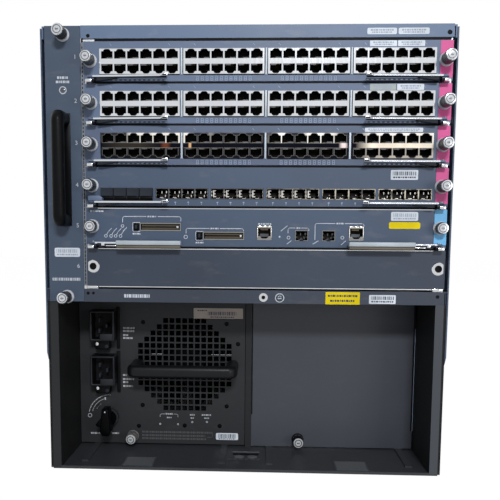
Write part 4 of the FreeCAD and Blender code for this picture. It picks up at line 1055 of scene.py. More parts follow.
def copper_trim(card):
    bm = bmesh.new()
    top = slot_top(card)
    low = top - GANG_LOW
    high = top - GANG_DROP
    for index in range(3):
        middle = PANEL_CENTRE + (index - 1) * GANG_PITCH
        # The dark strip behind each rib is painted shade in the gap.
        block(bm, (middle - 1.85, -0.3, low), (middle + 1.85, 0.1, high), DARK)
        block(bm, (middle - 1.0, -1.3, low - 0.9), (middle + 1.0, 0.0, high + 0.3), RIB, 0.3)
    for index in GANGS:
        middle = gang_middle(index)
        bar(bm, middle - GANG_WIDTH / 2, middle + GANG_WIDTH / 2, low - 1.2, low - 0.02, 0.0, DARK)
        for tick in (middle - 32.0, middle + 31.0):
            stroke(bm, (tick, top - 2.6), (tick + 1.9, top - 4.6), 0.4, 0.0, BLUE_MARK)
        port_marks(bm, middle, top, index in (0, 3))
    card_foot(bm, card, BRIGHT, DARK)
    finishes = [pale_rib, socket_plastic, print_white, print_blue, nickel]
    piece(bm, f"card_{card}_trim", f"card_{card}", finishes)


for card in COPPER_CARDS:
    copper_trim(card)

# %% [markdown]
# ## Pluggable cages
# The fourth card has six groups of four small cages. Each is a thin bright frame round a dark well, with
# two spring fingers on its sides and a latch tongue on its floor. The cell is filled and pulled in just as
# the jack was.

# %% A framed well
CAGE_PITCH = 14.2
CAGE_HEIGHT = 11.4
CAGE_HALF = 6.45
CAGE_MOUTH_HALF = 5.1
CAGE_DEPTH = 46.0
GROUP_PITCH = 60.1
COLUMNS = range(4)
CAGE_MIDDLE = slot_top(4) - 28.3
FRAME, INSIDE, SPRING, BACK = range(4)


def rectangle(wide, tall):
    """The corners of a rectangle about the origin, from half its width and half its height."""
    return [(-wide, -tall), (wide, -tall), (wide, tall), (-wide, tall)]


def framed_well(border, mouth, lip, depth, shell):
    """A frame between two outlines with a dark well behind the inner one and a shell behind the outer one."""
    bm = bmesh.new()
    outer = ring(bm, border)
    inner = ring(bm, mouth)
    bmesh.ops.triangle_fill(bm, use_beauty=True, edges=outer + inner)
    dark_well(bm, inner, lip, depth, FRAME)
    sides = pull_in(bm, open_edges(outer), shell, FRAME)
    bmesh.ops.edgeloop_fill(bm, edges=open_edges(sides))
    bmesh.ops.recalc_face_normals(bm, faces=bm.faces)
    return bm


# %% One cage
def cage_mesh(glints):
    """A cage with painted glints in its well: bright blocks, each given by its left, right, low and high
    edge.
    """
    border = rectangle(CAGE_PITCH / 2, CAGE_HEIGHT / 2)
    bm = framed_well(border, rectangle(CAGE_HALF, CAGE_MOUTH_HALF), 0.6, 38.0, CAGE_DEPTH)
    for side in (-1, 1):
        wall = side * CAGE_HALF
        for low, high, reach in ((-2.6, -0.6, 1.9), (1.0, 3.2, 1.6)):
            tip = wall - side * reach
            finger = [(wall, 1.2, low), (wall, 1.2, high), (tip, 6.5, high), (tip, 6.5, low)]
            sheet(bm, finger, (-side * 0.25, 0, 0), SPRING)
    tongue = [(-1.6, 1.0, -5.0), (1.6, 1.0, -5.0), (0.9, 7.5, -2.7), (-0.9, 7.5, -2.7)]
    sheet(bm, tongue, (0, 0, 0.3), SPRING)
    block(bm, (-4.2, 11.0, -3.4), (4.2, 12.0, 1.6), BACK)
    for left, right, low, high in glints:
        block(bm, (left, 3.0, low), (right, 3.6, high), SPRING)
    return small_mesh(bm, "pluggable_cage")


# %% Cage groups
NOISY = cage_mesh((
    (2.6, 3.4, -3.6, -1.2), (3.6, 4.6, 0.6, 2.8), (-3.0, 0.5, -4.3, -3.7), (-1.2, -0.4, 0.2, 2.6),
))
PRONGED = cage_mesh((
    (-4.9, -3.7, -3.6, 3.9), (-3.7, -1.6, -3.4, -2.4), (-3.7, -2.4, -0.4, 0.6), (-3.7, -2.0, 3.0, 3.8),
    (-0.6, 2.4, -4.5, -4.0),
))
PLAIN = cage_mesh(((-2.4, 1.6, -4.4, -3.8), (0.6, 1.4, -1.2, -0.6)))
CAGE_STYLES = (PLAIN, NOISY, PRONGED, PRONGED, PLAIN, NOISY)


def cage_middle(group, column):
    return PANEL_CENTRE + (group - 2.5) * GROUP_PITCH + (column - 1.5) * CAGE_PITCH


bm = bmesh.new()
for group, style in enumerate(CAGE_STYLES):
    for column in COLUMNS:
        stamp(bm, style, (cage_middle(group, column), 0, CAGE_MIDDLE))
finishes = [cage_frame, socket_plastic, cage_spring, slot_brown]
piece(bm, "card_4_cage_groups", "card_4", finishes, ["card_4_cages"])

# %% [markdown]
# The first group is shut with four rubber plugs. Each has a soft rim, a shallow dish in its face and a pull
# tab below. Under the open cages are printed marks, and a pale ear stands beside the left lever.

# %% Dust plugs
RUBBER, SHADE = range(2)


def dust_plug(bm, middle):
    before = set(bm.faces)
    cap = (middle - 6.75, -4.5, CAGE_MIDDLE - 3.2)
    block(bm, cap, (middle + 6.75, -0.55, CAGE_MIDDLE + 5.8), RUBBER, 0.5, 3)
    new = [face for face in bm.faces if face not in before]
    front = min(new, key=lambda face: face.calc_center_median().y)
    bmesh.ops.inset_region(bm, faces=[front], thickness=0.9, depth=-0.15)
    below = CAGE_MIDDLE - 3.1
    block(bm, (middle - 6.6, -3.0, CAGE_MIDDLE - 5.8), (middle + 6.6, -0.55, below), SHADE, 0.3)
    block(bm, (middle + 4.0, -3.4, CAGE_MIDDLE - 4.4), (middle + 6.4, -2.6, CAGE_MIDDLE - 3.8), RUBBER, 0.1)
    block(bm, (middle - 7.1, -0.5, CAGE_MIDDLE - 8.2), (middle + 7.1, 0.1, CAGE_MIDDLE - 5.6), SHADE)
    block(bm, (middle - 5.7, -0.6, CAGE_MIDDLE - 4.3), (middle + 5.7, 18.0, CAGE_MIDDLE + 4.3), RUBBER, 0.3)


bm = bmesh.new()
for column in COLUMNS:
    dust_plug(bm, cage_middle(0, column))
piece(bm, "card_4_plugs", "card_4", [plug_rubber, socket_plastic], ["card_4_dust_plugs"])

# %% Trim of the fourth card
CAGE_MARK, CAGE_CATCH, EAR, CAGE_GAP = range(4)
EAR_DEPTH = 9.0
EAR_OUTLINE = ((-170.2, 36.6), (-170.2, 31.2), (-157.4, 31.2), (-154.9, 33.6), (-154.9, 36.6))
bm = bmesh.new()
top = slot_top(4)
for group in range(1, len(CAGE_STYLES)):
    for column in COLUMNS:
        across = cage_middle(group, column)
        bar(bm, across - 0.9, across + 0.9, top - 38.2, top - 37.0, 0.0, CAGE_MARK)
        bar(bm, across - 0.25, across + 0.25, top - 40.4, top - 38.2, 0.0, CAGE_MARK)
card_foot(bm, 4, CAGE_CATCH, CAGE_GAP)
ear = [(across, -EAR_DEPTH, top - drop) for across, drop in EAR_OUTLINE]
rounded_sheet(bm, ear, (0, EAR_DEPTH, 0), 0.5, 2, EAR)
piece(bm, "card_4_trim", "card_4", [print_blue, nickel, slate_toned_and_lit, socket_plastic])

# %% [markdown]
# ## Ports of the control card
# Two memory card slots, two modular sockets and two cages, each with its own frame. The slots are brown
# inside with two guide rails, and their eject buttons have a soft raised pad. Each port is a box of left,
# right, low and high.

# %% Memory card slots and modular sockets
FLASH = {1: (-115.4, -70.4, 270.7, 279.5), 2: (-46.2, -1.2, 261.5, 270.3)}
BASE = 261.5
SOCKETS = ((12.8, 28.6, BASE, 277.1), (112.2, 128.0, BASE, 277.1))
UPLINKS = ((54.0, 68.2, BASE, 271.7), (83.2, 97.4, BASE, 271.7))
SOCKET_SCALE = 1.12
PORT_FRAME, PORT_INSIDE, PORT_SPRING, PORT_PALE, PORT_GOLD, PORT_RAIL, PORT_DARK = range(7)


def centre_of(box):
    left, right, low, high = box
    return ((left + right) / 2, 0, (low + high) / 2)


def flash_mesh():
    bm = framed_well(rectangle(22.5, 4.4), rectangle(21.6, 3.4), 0.5, 38.0, 40.0)
    for up in (-3.0, 0.5):
        block(bm, (-20.8, 2.0, up), (20.8, 30.0, up + 2.3), PORT_RAIL)
    block(bm, (17.6, 0.6, -1.2), (19.6, 3.0, 1.0), PORT_PALE, 0.3)
    return small_mesh(bm, "memory_slot")


def socket_mesh():
    outline = [(across * SOCKET_SCALE, 8.2 - up * SOCKET_SCALE) for across, up in mouth_outline()]
    bm = framed_well(rectangle(7.9, 7.8), outline, 0.8, 13.0, 22.0)
    for across in CONTACTS:
        block(bm, (across - 0.24, 7.0, 3.0), (across + 0.24, 11.0, 4.4), PORT_GOLD)
    block(bm, (-4.6, 6.0, -4.2), (4.6, 7.0, -0.8), PORT_DARK)
    for left, right in ((-7.4, -3.2), (-2.4, 2.4), (3.2, 7.4)):
        block(bm, (left, -1.2, 5.9), (right, -0.4, 7.6), PORT_SPRING, 0.3)
    for side in (-1, 1):
        block(bm, (side * 7.4 - 0.4, -1.2, -5.0), (side * 7.4 + 0.4, -0.4, 5.2), PORT_SPRING, 0.2)
    return small_mesh(bm, "modular_socket")


bm = bmesh.new()
for mesh, boxes in ((flash_mesh(), FLASH.values()), (socket_mesh(), SOCKETS)):
    for box in boxes:
        stamp(bm, mesh, centre_of(box))
block(bm, (FLASH[1][0], 3.2, BASE), (FLASH[1][1], 40.0, FLASH[1][2]), PORT_INSIDE)
finishes = [port_frame, slot_brown, cage_spring, label_white, contact_gold, slot_rail, lamp_dark]
piece(bm, "card_5_port_set", "card_5", finishes, ["card_5_ports"])

# %% Uplink cages and eject buttons
bm = bmesh.new()
for box in UPLINKS:
    x, front, z = centre_of(box)
    stamp(bm, NOISY, (x, front, z))
    arrow = [(x - 2.6, -0.6, BASE - 0.6), (x + 2.6, -0.6, BASE - 0.6), (x, -0.6, BASE + 1.4)]
    sheet(bm, arrow, (0, 0.6, 0), BACK)
piece(bm, "card_5_uplinks", "card_5", [port_frame, socket_plastic, jack_glint_grey, slot_brown])
for number, box in FLASH.items():
    bm = bmesh.new()
    right = box[0] - 1.2
    z = centre_of(box)[2]
    block(bm, (right - 5.6, -3.0, z - 3.8), (right, 12.0, z + 3.8), 0, 0.5, 3)
    block(bm, (right - 4.2, -3.5, z - 2.2), (right - 1.4, -2.8, z + 2.2), 1, 0.35, 3)
    name = f"card_5_eject_button_{number}"
    piece(bm, f"card_5_button_{number}", name, [black_plastic, plug_rubber], [name])

# %% [markdown]
# The print of this card has a bracket over each port, rings at the lamps and slanted leader lines. Their
# places follow the photograph. A bracket is given by its left, right and top, its two feet, and the gap in
# its top line.

# %% Print of the control card
BRACKETS = (
    (-134.5, -70.5, 286.3, 280.2, 281.6, (-108.7, -95.5)),
    (-64.8, -2.0, 273.7, 268.6, 271.2, (-39.6, -27.6)),
    (46.4, 68.9, 274.8, 269.4, 271.9, (54.0, 61.1)),
    (75.6, 128.2, 279.9, 262.5, 277.6, (97.0, 107.8)),
)
LEADER_LAMPS = (-153.2, -147.5, -142.4, -137.0)
LAMP_HEIGHT = 264.9
LAMP_RING = 0.6
LAMPS = ((-134.7, 275.9, 1.5), (-65.2, 264.4, 1.9), (47.0, 264.4, 1.6), (105.2, 264.7, 1.6))
LEADERS = (
    ((38.8, 271.5), (45.3, 276.9)), ((45.5, 257.6), (49.8, 260.9)), ((73.7, 257.7), (79.1, 260.9)),
    ((104.0, 256.9), (108.8, 261.1)), ((-134.0, 270.6), (-130.2, 274.2)),
)
INKED, INK_CATCH, INK_GAP = range(3)
bm = bmesh.new()
for shape in BRACKETS:
    bracket(bm, *shape)
for left, right, low, high in FLASH.values():
    start, end = left - 8.0, left - 0.3
    path(bm, [(start, low - 0.6), (start, high + 0.2), (end, high + 0.2)], LINE)
    path(bm, [(start, low - 0.6), (end, low - 0.6)], LINE)
    dashes(bm, left - 8.2, left + 0.6, low - 4.0, low - 2.4)
for x in LEADER_LAMPS:
    circle(bm, x, LAMP_HEIGHT, 1.5, LAMP_RING)
    path(bm, [(x + 1.0, 266.5), (x + 2.6, 269.4), (x + 6.2, 273.2)], LAMP_RING)
for x, z, radius in LAMPS:
    circle(bm, x, z, radius, LAMP_RING)
circle(bm, 37.3, 265.3, 0.5, 1.0)
for start, end in LEADERS:
    stroke(bm, start, end, LINE)
dashes(bm, 13.8, 28.0, 278.2, 279.8)
dashes(bm, -170.4, -155.6, 291.0, 292.8)
card_foot(bm, 5, INK_CATCH, INK_GAP)
top_line(bm, 5, INK_CATCH)
piece(bm, "card_5_print", "card_5", [print_white, nickel, socket_plastic])

# %% [markdown]
# ## Labels and tabs
# Stickers are thin plates with rounded corners. Rows of dashes and fields of bars lie on them, and nothing
# on them can be read. Pink and blue tabs mark the right ends of the cards.

# %% Label helpers
STICKER = 0.2
CODE_BARS = (0.5, 0.9, 0.4, 1.2, 0.6, 0.4, 1.0, 0.5)
PAPER, FAINT, GREEN, YELLOW, DARK_INK = range(5)


def sticker(bm, left, right, low, high, y=0.0, finish=PAPER, corner=0.8):
    before = set(bm.edges)
    block(bm, (left, y - STICKER, low), (right, y + 0.05, high), finish)
    new = [edge for edge in bm.edges if edge not in before]
    round_off(bm, [edge for edge in new if abs(edge.verts[0].co.y - edge.verts[1].co.y) > 0.1], corner, 4)


def code(bm, left, right, low, high, y, finish):
    """A field of upright bars."""
    index = 0
    while left < right:
        width = CODE_BARS[index % len(CODE_BARS)]
        bar(bm, left, min(left + width, right), low, high, y - STICKER, finish)
        left += width + CODE_BARS[(index + 3) % len(CODE_BARS)]
        index += 1


def coded_label(bm, left, right, low, high, y=0.0, corner=0.8):
    sticker(bm, left, right, low, high, y, PAPER, corner)
    rise = high - low
    code(bm, left + 2.2, right - 2.2, low + rise * 0.45, high - rise * 0.16, y, FAINT)
    dashes(bm, left + 2.6, right - 2.6, low + rise * 0.17, low + rise * 0.33, y - STICKER, FAINT)


def worded_label(bm, left, right, low, high, corner=0.6, finish=PAPER):
    sticker(bm, left, right, low, high, 0.0, finish, corner)
    rise = high - low
    dashes(bm, left + 3.5, right - 3.5, low + rise * 0.54, low + rise * 0.8, -STICKER, FAINT)
    dashes(bm, left + 5.0, right - 5.0, low + rise * 0.2, low + rise * 0.42, -STICKER, FAINT, 3)


# %% Tabs
for card in CARDS:
    bm = bmesh.new()
    top = slot_top(card)
    sticker(bm, 203.3, 216.4, top - 38.2, top - 0.3, corner=0.4)
    piece(bm, f"card_{card}_tab", f"card_{card}", [blue_tab if card == 5 else pink_tab])

# %% Labels
LABEL_FINISHES = [label_white, label_faint, label_green, label_yellow, label_ink]
WORDED_LABELS = {
    "top_labels": ((126.2, 157.0, 477.4, 483.9, 1.4), (158.8, 190.9, 477.4, 483.9, 1.4)),
    "card_1_labels": ((129.3, 157.5, 465.3, 471.1), (158.6, 186.7, 465.3, 471.1)),
    "card_2_labels": ((130.6, 157.8, 420.4, 426.7, 0.6, GREEN), (159.0, 187.2, 420.4, 426.7)),
    "card_3_labels": ((126.5, 187.8, 377.0, 381.4),),
}
for name, labels in WORDED_LABELS.items():
    bm = bmesh.new()
    for label in labels:
        worded_label(bm, *label)
    if name == "top_labels":
        piece(bm, name, "chassis", LABEL_FINISHES)
    else:
        piece(bm, name, name.replace("_labels", ""), LABEL_FINISHES)

bm = bmesh.new()
coded_label(bm, 155.2, 184.2, 326.8, 337.2)
piece(bm, "card_4_labels", "card_4", [label_white, label_ink])

bm = bmesh.new()
coded_label(bm, 156.8, 185.8, 283.2, 292.7, corner=1.6)
sticker(bm, 154.9, 188.3, 274.6, 281.8, 0.0, YELLOW, 1.6)
piece(bm, "card_5_labels", "card_5", LABEL_FINISHES)

bm = bmesh.new()
sticker(bm, 88.4, 125.7, 191.9, 205.5, 0.0, YELLOW, 0.4)
dashes(bm, 91.0, 123.0, 200.2, 202.4, -STICKER, DARK_INK)
dashes(bm, 93.5, 120.0, 194.8, 197.0, -STICKER, DARK_INK, 2)
coded_label(bm, 135.7, 164.7, 193.0, 202.7)
finishes = [label_white, label_ink, label_green, label_yellow, label_ink]
piece(bm, "shelf_labels", "chassis", finishes)

# %% [markdown]
# ## Fan tray front
# The tray's front carries the slot numbers, a lamp in a ring and a coded label. The numbers are text turned
# into a mesh before it is stood up and put in place.

# %% Fan tray front
DIGIT_PLACES = {1: 455.4, 2: 409.5, 3: 365.0, 4: 320.0, 5: 276.0, 6: 231.5}
DIGIT_SIZE = 6.4
TRAY_LAMP = (-197.9, 420.8)


def digit_mesh(number):
    curve = bpy.data.curves.new(f"digit_{number}", "FONT")
    curve.body = str(number)
    curve.align_x = "CENTER"
    curve.align_y = "CENTER"
    curve.size = DIGIT_SIZE
    curve.extrude = 0.06
    holder = bpy.data.objects.new(f"digit_{number}", curve)
    bpy.context.scene.collection.objects.link(holder)
    bpy.context.view_layer.update()
    shown = holder.evaluated_get(bpy.context.evaluated_depsgraph_get())
    mesh = bpy.data.meshes.new_from_object(shown)
    bpy.data.objects.remove(holder)
    mesh.transform(Matrix.Rotation(math.pi / 2, 4, "X"))
    return mesh


bm = bmesh.new()
for number, height in DIGIT_PLACES.items():
    stamp(bm, digit_mesh(number), (-184.2, -0.05, height))
circle(bm, *TRAY_LAMP, 3.6, 1.1, 0.0, 0, 28)
lathe(bm, [(0, -0.5), (1.9, -0.4), (2.8, 0.0)], *TRAY_LAMP, 24, 1)
dashes(bm, -203.9, -192.0, 432.6, 435.2)
dashes(bm, -205.4, -190.4, 428.2, 430.8, 0.0, 0, 2)
dashes(bm, -213.5, -182.0, 215.2, 218.4, 0.0, 0, 1)
piece(bm, "fan_tray_print", "fan_tray", [print_white, lamp_dark])

bm = bmesh.new()
coded_label(bm, -210.5, -182.2, 241.6, 251.6, corner=1.6)
piece(bm, "fan_tray_label", "fan_tray", [label_white, label_faint])

# %% [markdown]
# ## Small things on the chassis front
# The divider strip has a symbol in a ring, a few holes and a row of print. A gasket with a row of small
# windows closes the left edge of the card cage, and bright washers stay round the filler panel's empty
# holes. The holes and windows are dark discs, bars and cups, and dark strips fill the gaps along the top:
# painted shade.

# %% Chassis front
SYMBOL = (38.3, 198.4)
STRAP_SOCKET = (20.4, 198.8)
HOLES = (
    (-174.0, 201.6, 1.3), (-168.0, 201.7, 1.1), (209.7, 201.2, 1.5), (212.0, 479.3, 2.0),
    (-169.8, 477.3, 1.5),
)
WINDOWS = 61
WINDOW_PITCH = 4.2
TALL_WINDOWS = 32
GASKET_FRONT = -0.06
MARK, HOLE_SHADE, WASHER, GASKET = range(4)
bm = bmesh.new()
circle(bm, *SYMBOL, 4.6, 0.9, 0.0, MARK, 28)
bar(bm, 36.2, 40.4, 197.2, 198.2)
path(bm, [(36.6, 199.4), (38.3, 200.9), (40.0, 199.4)], LINE)
dashes(bm, -133.7, -105.3, 197.0, 200.8)
for x, z, radius in HOLES:
    profile = [(radius + 0.5, 0.0), (radius + 0.2, -0.1), (radius, 0.0), (radius, -0.06), (0, -0.06)]
    lathe(bm, profile, x, z, 16, HOLE_SHADE)
block(bm, (-178.0, GASKET_FRONT, 210.0), (-174.7, 0.3, 470.0), GASKET)
for index in range(WINDOWS):
    low = 212.0 + index * WINDOW_PITCH
    high = low + (3.4 if index < TALL_WINDOWS else 2.2)
    bar(bm, -176.9, -175.9, low, high, GASKET_FRONT, HOLE_SHADE)
lathe(bm, [(2.8, -1.2), (4.3, -1.2), (4.8, -0.8), (4.9, 0.1)], *STRAP_SOCKET, 28, WASHER)
lathe(bm, [(2.0, -0.2), (2.8, -1.2)], *STRAP_SOCKET, 28, HOLE_SHADE)
block(bm, (-163.0, 0.2, 471.65), (214.0, 1.2, 474.45), HOLE_SHADE)
block(bm, (-177.4, -0.2, 470.2), (-175.4, 0.4, 474.6), HOLE_SHADE)
piece(bm, "chassis_print", "chassis", [print_white, socket_plastic, nickel, gasket_grey])

# %% Washers of the filler panel
WASHER_HEIGHT = 231.5
WASHER_CUT = 5.2
WASHERS = ((-167.85, -1), (209.35, 1))
FILLER_CATCHES = ((-173.6, -163.2), (203.8, 214.6))
BRIGHT_RING, EMPTY_HOLE_SHADE, STEEL = range(3)


def cut_washer(bm, x, outward):
    """A washer whose outer side is cut straight, round an empty hole closed by a dark cup of painted shade.
    """
    profile = [(3.9, -0.75), (4.1, -0.9), (6.7, -0.9), (7.2, -0.4), (7.2, 0.1)]
    faces = lathe(bm, profile, x, WASHER_HEIGHT, 32, BRIGHT_RING)
    corners = {vert for face in faces for vert in face.verts}
    lines = {edge for face in faces for edge in face.edges}
    cut = bmesh.ops.bisect_plane(
        bm, geom=list(corners) + list(lines) + faces, plane_co=(x + outward * WASHER_CUT, 0, 0),
        plane_no=(outward, 0, 0), clear_outer=True,
    )
    pull_in(bm, only(cut["geom_cut"], bmesh.types.BMEdge), 0.8, BRIGHT_RING)
    hole = [(0, 1.6), (3.2, 1.6), (3.2, -0.3), (3.9, -0.75)]
    lathe(bm, hole, x, WASHER_HEIGHT, 24, EMPTY_HOLE_SHADE)


bm = bmesh.new()
for x, outward in WASHERS:
    cut_washer(bm, x, outward)
top_line(bm, 6, STEEL)
block(bm, (GAP_LEFT, 0.3, 208.6), (GAP_RIGHT, 1.2, 209.5), STEEL)
for left, right in FILLER_CATCHES:
    block(bm, (left, -0.4, 207.4), (right, 0.8, 209.8), BRIGHT_RING, 0.3)
piece(bm, "filler_washers", "chassis", [nickel, socket_plastic, bare_steel])

# %% [markdown]
# ## Power supply front
# The supply's face has two inlets, a rotary switch, lamps, screws and print round the grille. The inlets
# and the switch are moulded, so their edges are rounded well.

# %% Inlets
INLET_LEFT = -189.5
INLET_WIDTH = 30.0
INLET_HEIGHT = 37.0
INLET_LOWS = (137.0, 81.5)
INLET_WALL = 2.4
PINS = ((-4.5, 6.5), (4.5, 0.0), (-4.5, -6.5))
MOULD, DARK_FLANGE_SHADE, PIN, BOLT, MOULD_EDGE_HIGHLIGHT = range(5)


def inlet_well():
    tall, wide = INLET_HEIGHT / 2, INLET_WIDTH / 2
    mouth = rectangle(wide - INLET_WALL, tall - INLET_WALL)
    well = framed_well(rectangle(wide, tall), mouth, 1.0, 18.0, 21.8)
    round_off(well, [edge for edge in well.edges if edge.calc_face_angle(0.0) > 1.2], 1.3, 3)
    # The rounded edges of the moulding take a lighter plastic: a painted highlight.
    for face in well.faces:
        if max(abs(part) for part in face.normal) < 0.97 and face.material_index == MOULD:
            face.material_index = MOULD_EDGE_HIGHLIGHT
    return small_mesh(well, "inlet_well")


def inlet(bm, left, low):
    """A socket with three pins on a moulded foot, a dark strip on its right and two small bolts. The strip is
    a flange whose darkness is painted shade.
    """
    right, high = left + INLET_WIDTH, low + INLET_HEIGHT
    middle = ((left + right) / 2, (low + high) / 2)
    stamp(bm, inlet_well(), (middle[0], BAY - 21.5, middle[1]))
    for across, up in PINS:
        x, z = middle[0] + across, middle[1] + up
        block(bm, (x - 1.0, BAY - 16.5, z - 2.5), (x + 1.0, BAY - 2.0, z + 2.5), PIN, 0.3)
    block(bm, (left + 4.0, BAY - 12.0, low - 12.0), (right - 8.0, BAY, low + 0.2), MOULD, 1.6, 3)
    block(bm, (left + 12.5, BAY - 22.4, low + 1.4), (right - 2.0, BAY - 21.4, low + 9.0), MOULD_EDGE_HIGHLIGHT, 0.4)
    block(bm, (right - 1.0, BAY - 3.0, low - 12.0), (right + 2.9, BAY, high + 3.0), DARK_FLANGE_SHADE, 0.6)
    bright = [(0, BAY - 14.0), (2.0, BAY - 13.8), (2.4, BAY - 12.9), (2.4, BAY - 11.8)]
    lathe(bm, bright, left + 7.0, low - 4.6, 18, BOLT)
    dark = [(0, BAY - 12.8), (1.2, BAY - 12.8), (2.2, BAY - 12.5), (2.4, BAY - 11.8)]
    lathe(bm, dark, right - 11.5, low - 8.0, 18, PIN)


bm = bmesh.new()
for low in INLET_LOWS:
    inlet(bm, INLET_LEFT, low)
finishes = [inlet_plastic, socket_plastic, dark_and_shade_plastic, nickel, inlet_ledge_and_edge_highlight]
piece(bm, "psu_inlet_set", "psu", finishes, ["psu_inlets"], 45.0)

# %% Rotary switch
SWITCH = (-170.0, 38.0)
WING = ((-6.5, -12.0), (-4.0, -17.0), (4.0, -17.0), (6.5, -12.0), (4.0, 17.0), (-4.0, 17.0))
FIN = ((-5.0, 6.0), (-12.4, -3.0), (-11.6, -5.6), (-5.0, -7.0))
bm = bmesh.new()
lathe(bm, [(0, 70.0), (8.6, 70.0), (9.4, 70.8), (9.4, 76.6), (0, 76.6)], *SWITCH, 40)
wing = [(SWITCH[0] + across, 53.0, SWITCH[1] + up) for across, up in WING]
rounded_sheet(bm, wing, (0, 17.2, 0), 1.5, 4)
fin = [(SWITCH[0] + across, 56.0, SWITCH[1] + up) for across, up in FIN]
rounded_sheet(bm, fin, (0, 10.0, 0), 0.8, 3)
lathe(bm, [(0, 52.7), (0.8, 52.8), (0.9, 53.2)], SWITCH[0], SWITCH[1] + 13.5, 16, 1)
piece(bm, "psu_switch_knob", "psu_knob", [black_plastic, label_white], ["psu_knob"], 45.0)

# %% [markdown]
# Screws on this face are dark countersunk heads with a cross recess, drawn as a flat dark cross of painted
# shade. The captive screw of each bay reuses the thumbscrew, seated on the bay's own plane.

# %% Screws of the power supply
FACE_SCREW = 2.4
FACE_SCREWS = (
    (-127.8, 158.0), (-23.9, 157.0), (-9.6, 132.0), (-129.0, 53.0), (-23.3, 53.0), (-134.0, 26.0),
    (-32.0, 27.6), (-76.0, 27.4),
)
BAY_SCREW_HEIGHT = 13.2
COVER_FRONT = BAY - 1.6
HEAD, RECESS_SHADE = range(2)


def screw_head(bm, x, z, y, radius):
    dome = [(radius + 0.3, y), (radius, y - 0.6), (radius * 0.5, y - 0.9), (0, y - 0.95)]
    lathe(bm, dome, x, z, 20, HEAD)
    arm = radius * 0.6
    # The cross recess is two flat dark bars: painted shade.
    for wide, tall in ((arm, 0.3), (0.3, arm)):
        block(bm, (x - wide, y - 1.0, z - tall), (x + wide, y - 0.7, z + tall), RECESS_SHADE)


bm = bmesh.new()
for x, z in FACE_SCREWS:
    screw_head(bm, x, z, BAY, FACE_SCREW)
piece(bm, "psu_face_screws", "psu", [black_plastic, socket_plastic])
PSU_SCREW = [zinc_screw, dark_and_shade_plastic, zinc_side_shaded, zinc_side_shaded]
COVER_SCREW = [zinc_screw, dark_and_shade_plastic, socket_plastic, socket_plastic]
place = (-141.5, BAY, BAY_SCREW_HEIGHT)
thumbscrews("psu_thumbscrew", "psu", [place], (), bay_thumbscrew, PSU_SCREW)
place = (65.7, COVER_FRONT, BAY_SCREW_HEIGHT)
thumbscrews("cover_thumbscrew", "chassis", [place], (), bay_thumbscrew, COVER_SCREW)

# %% [markdown]
# Small print lies beside each inlet, below the grille and at the lamps. Three arcs round the rotary switch
# show how it turns. A row of print is given by its middle height and its right end.

# %% Print of the power supply
UPPER_ROWS = ((150.5, -138.5), (146.7, -139.0), (141.6, -146.6), (137.9, -140.4))
LOWER_ROWS = ((90.9, -148.4), (85.9, -139.8), (82.0, -147.2), (77.0, -141.0))
FOOT_ROWS = ((18.6, -42.0), (14.2, -50.0), (10.2, -49.0))
ARCS = ((27.5, 90.0, 168.0, 0.9), (23.5, 112.0, 164.0, 0.7), (19.5, 128.0, 150.0, 0.7))
ARC_STEPS = 9
LAMP_ROWS = (
    (-100.0, -90.0, 41.2, 43.0), (-98.5, -92.5, 36.6, 38.2), (-69.5, -63.5, 40.4, 42.2),
    (-68.5, -64.5, 36.4, 38.0), (-54.5, -43.0, 40.6, 42.4), (-51.5, -45.5, 36.6, 38.2),
)
PSU_LAMPS = ((-107.0, 29.0), (-84.5, 29.0), (-66.5, 32.0), (-48.0, 32.5))
CLEAR_PRINT, DIM_PRINT = range(2)


def arc(bm, radius, start, stop, width):
    """A printed arc round the rotary switch, between two angles in degrees."""
    turns = [math.radians(start + (stop - start) * step / ARC_STEPS) for step in range(ARC_STEPS + 1)]
    points = [(SWITCH[0] + radius * math.cos(turn), SWITCH[1] + radius * math.sin(turn)) for turn in turns]
    path(bm, points, width, BAY)


bm = bmesh.new()
for z, right in UPPER_ROWS:
    dashes(bm, -152.8, right, z - 1.1, z + 1.1, BAY)
for z, right in LOWER_ROWS:
    dashes(bm, -153.6, right, z - 1.1, z + 1.1, BAY, CLEAR_PRINT, 2)
for shape in ARCS:
    arc(bm, *shape)
circle(bm, -196.1, 38.6, 2.3, 0.9, BAY)
bar(bm, -177.2, -175.6, 58.8, 62.2, BAY)
dashes(bm, -195.2, -182.4, 14.6, 16.8, BAY)
dashes(bm, -168.4, -159.2, 15.0, 17.0, BAY, CLEAR_PRINT, 3)
for z, right in FOOT_ROWS:
    dashes(bm, -130.0, right, z - 1.2, z + 1.2, BAY, DIM_PRINT)
path(bm, [(-47.5, 12.8), (-42.0, 12.8), (-41.0, 14.0), (-41.0, 19.0)], LINE, BAY, DIM_PRINT)
path(bm, [(-107.0, 38.5), (-107.0, 40.4), (-105.4, 42.0), (-101.0, 42.0)], LAMP_RING, BAY)
path(bm, [(-89.0, 42.0), (-86.0, 42.0), (-84.6, 40.6), (-84.6, 38.5)], LAMP_RING, BAY)
for row in LAMP_ROWS:
    dashes(bm, *row, BAY)
for x, z in PSU_LAMPS:
    circle(bm, x, z, 0.9, 0.7, BAY)
piece(bm, "psu_print", "psu", [print_grey, print_dim])

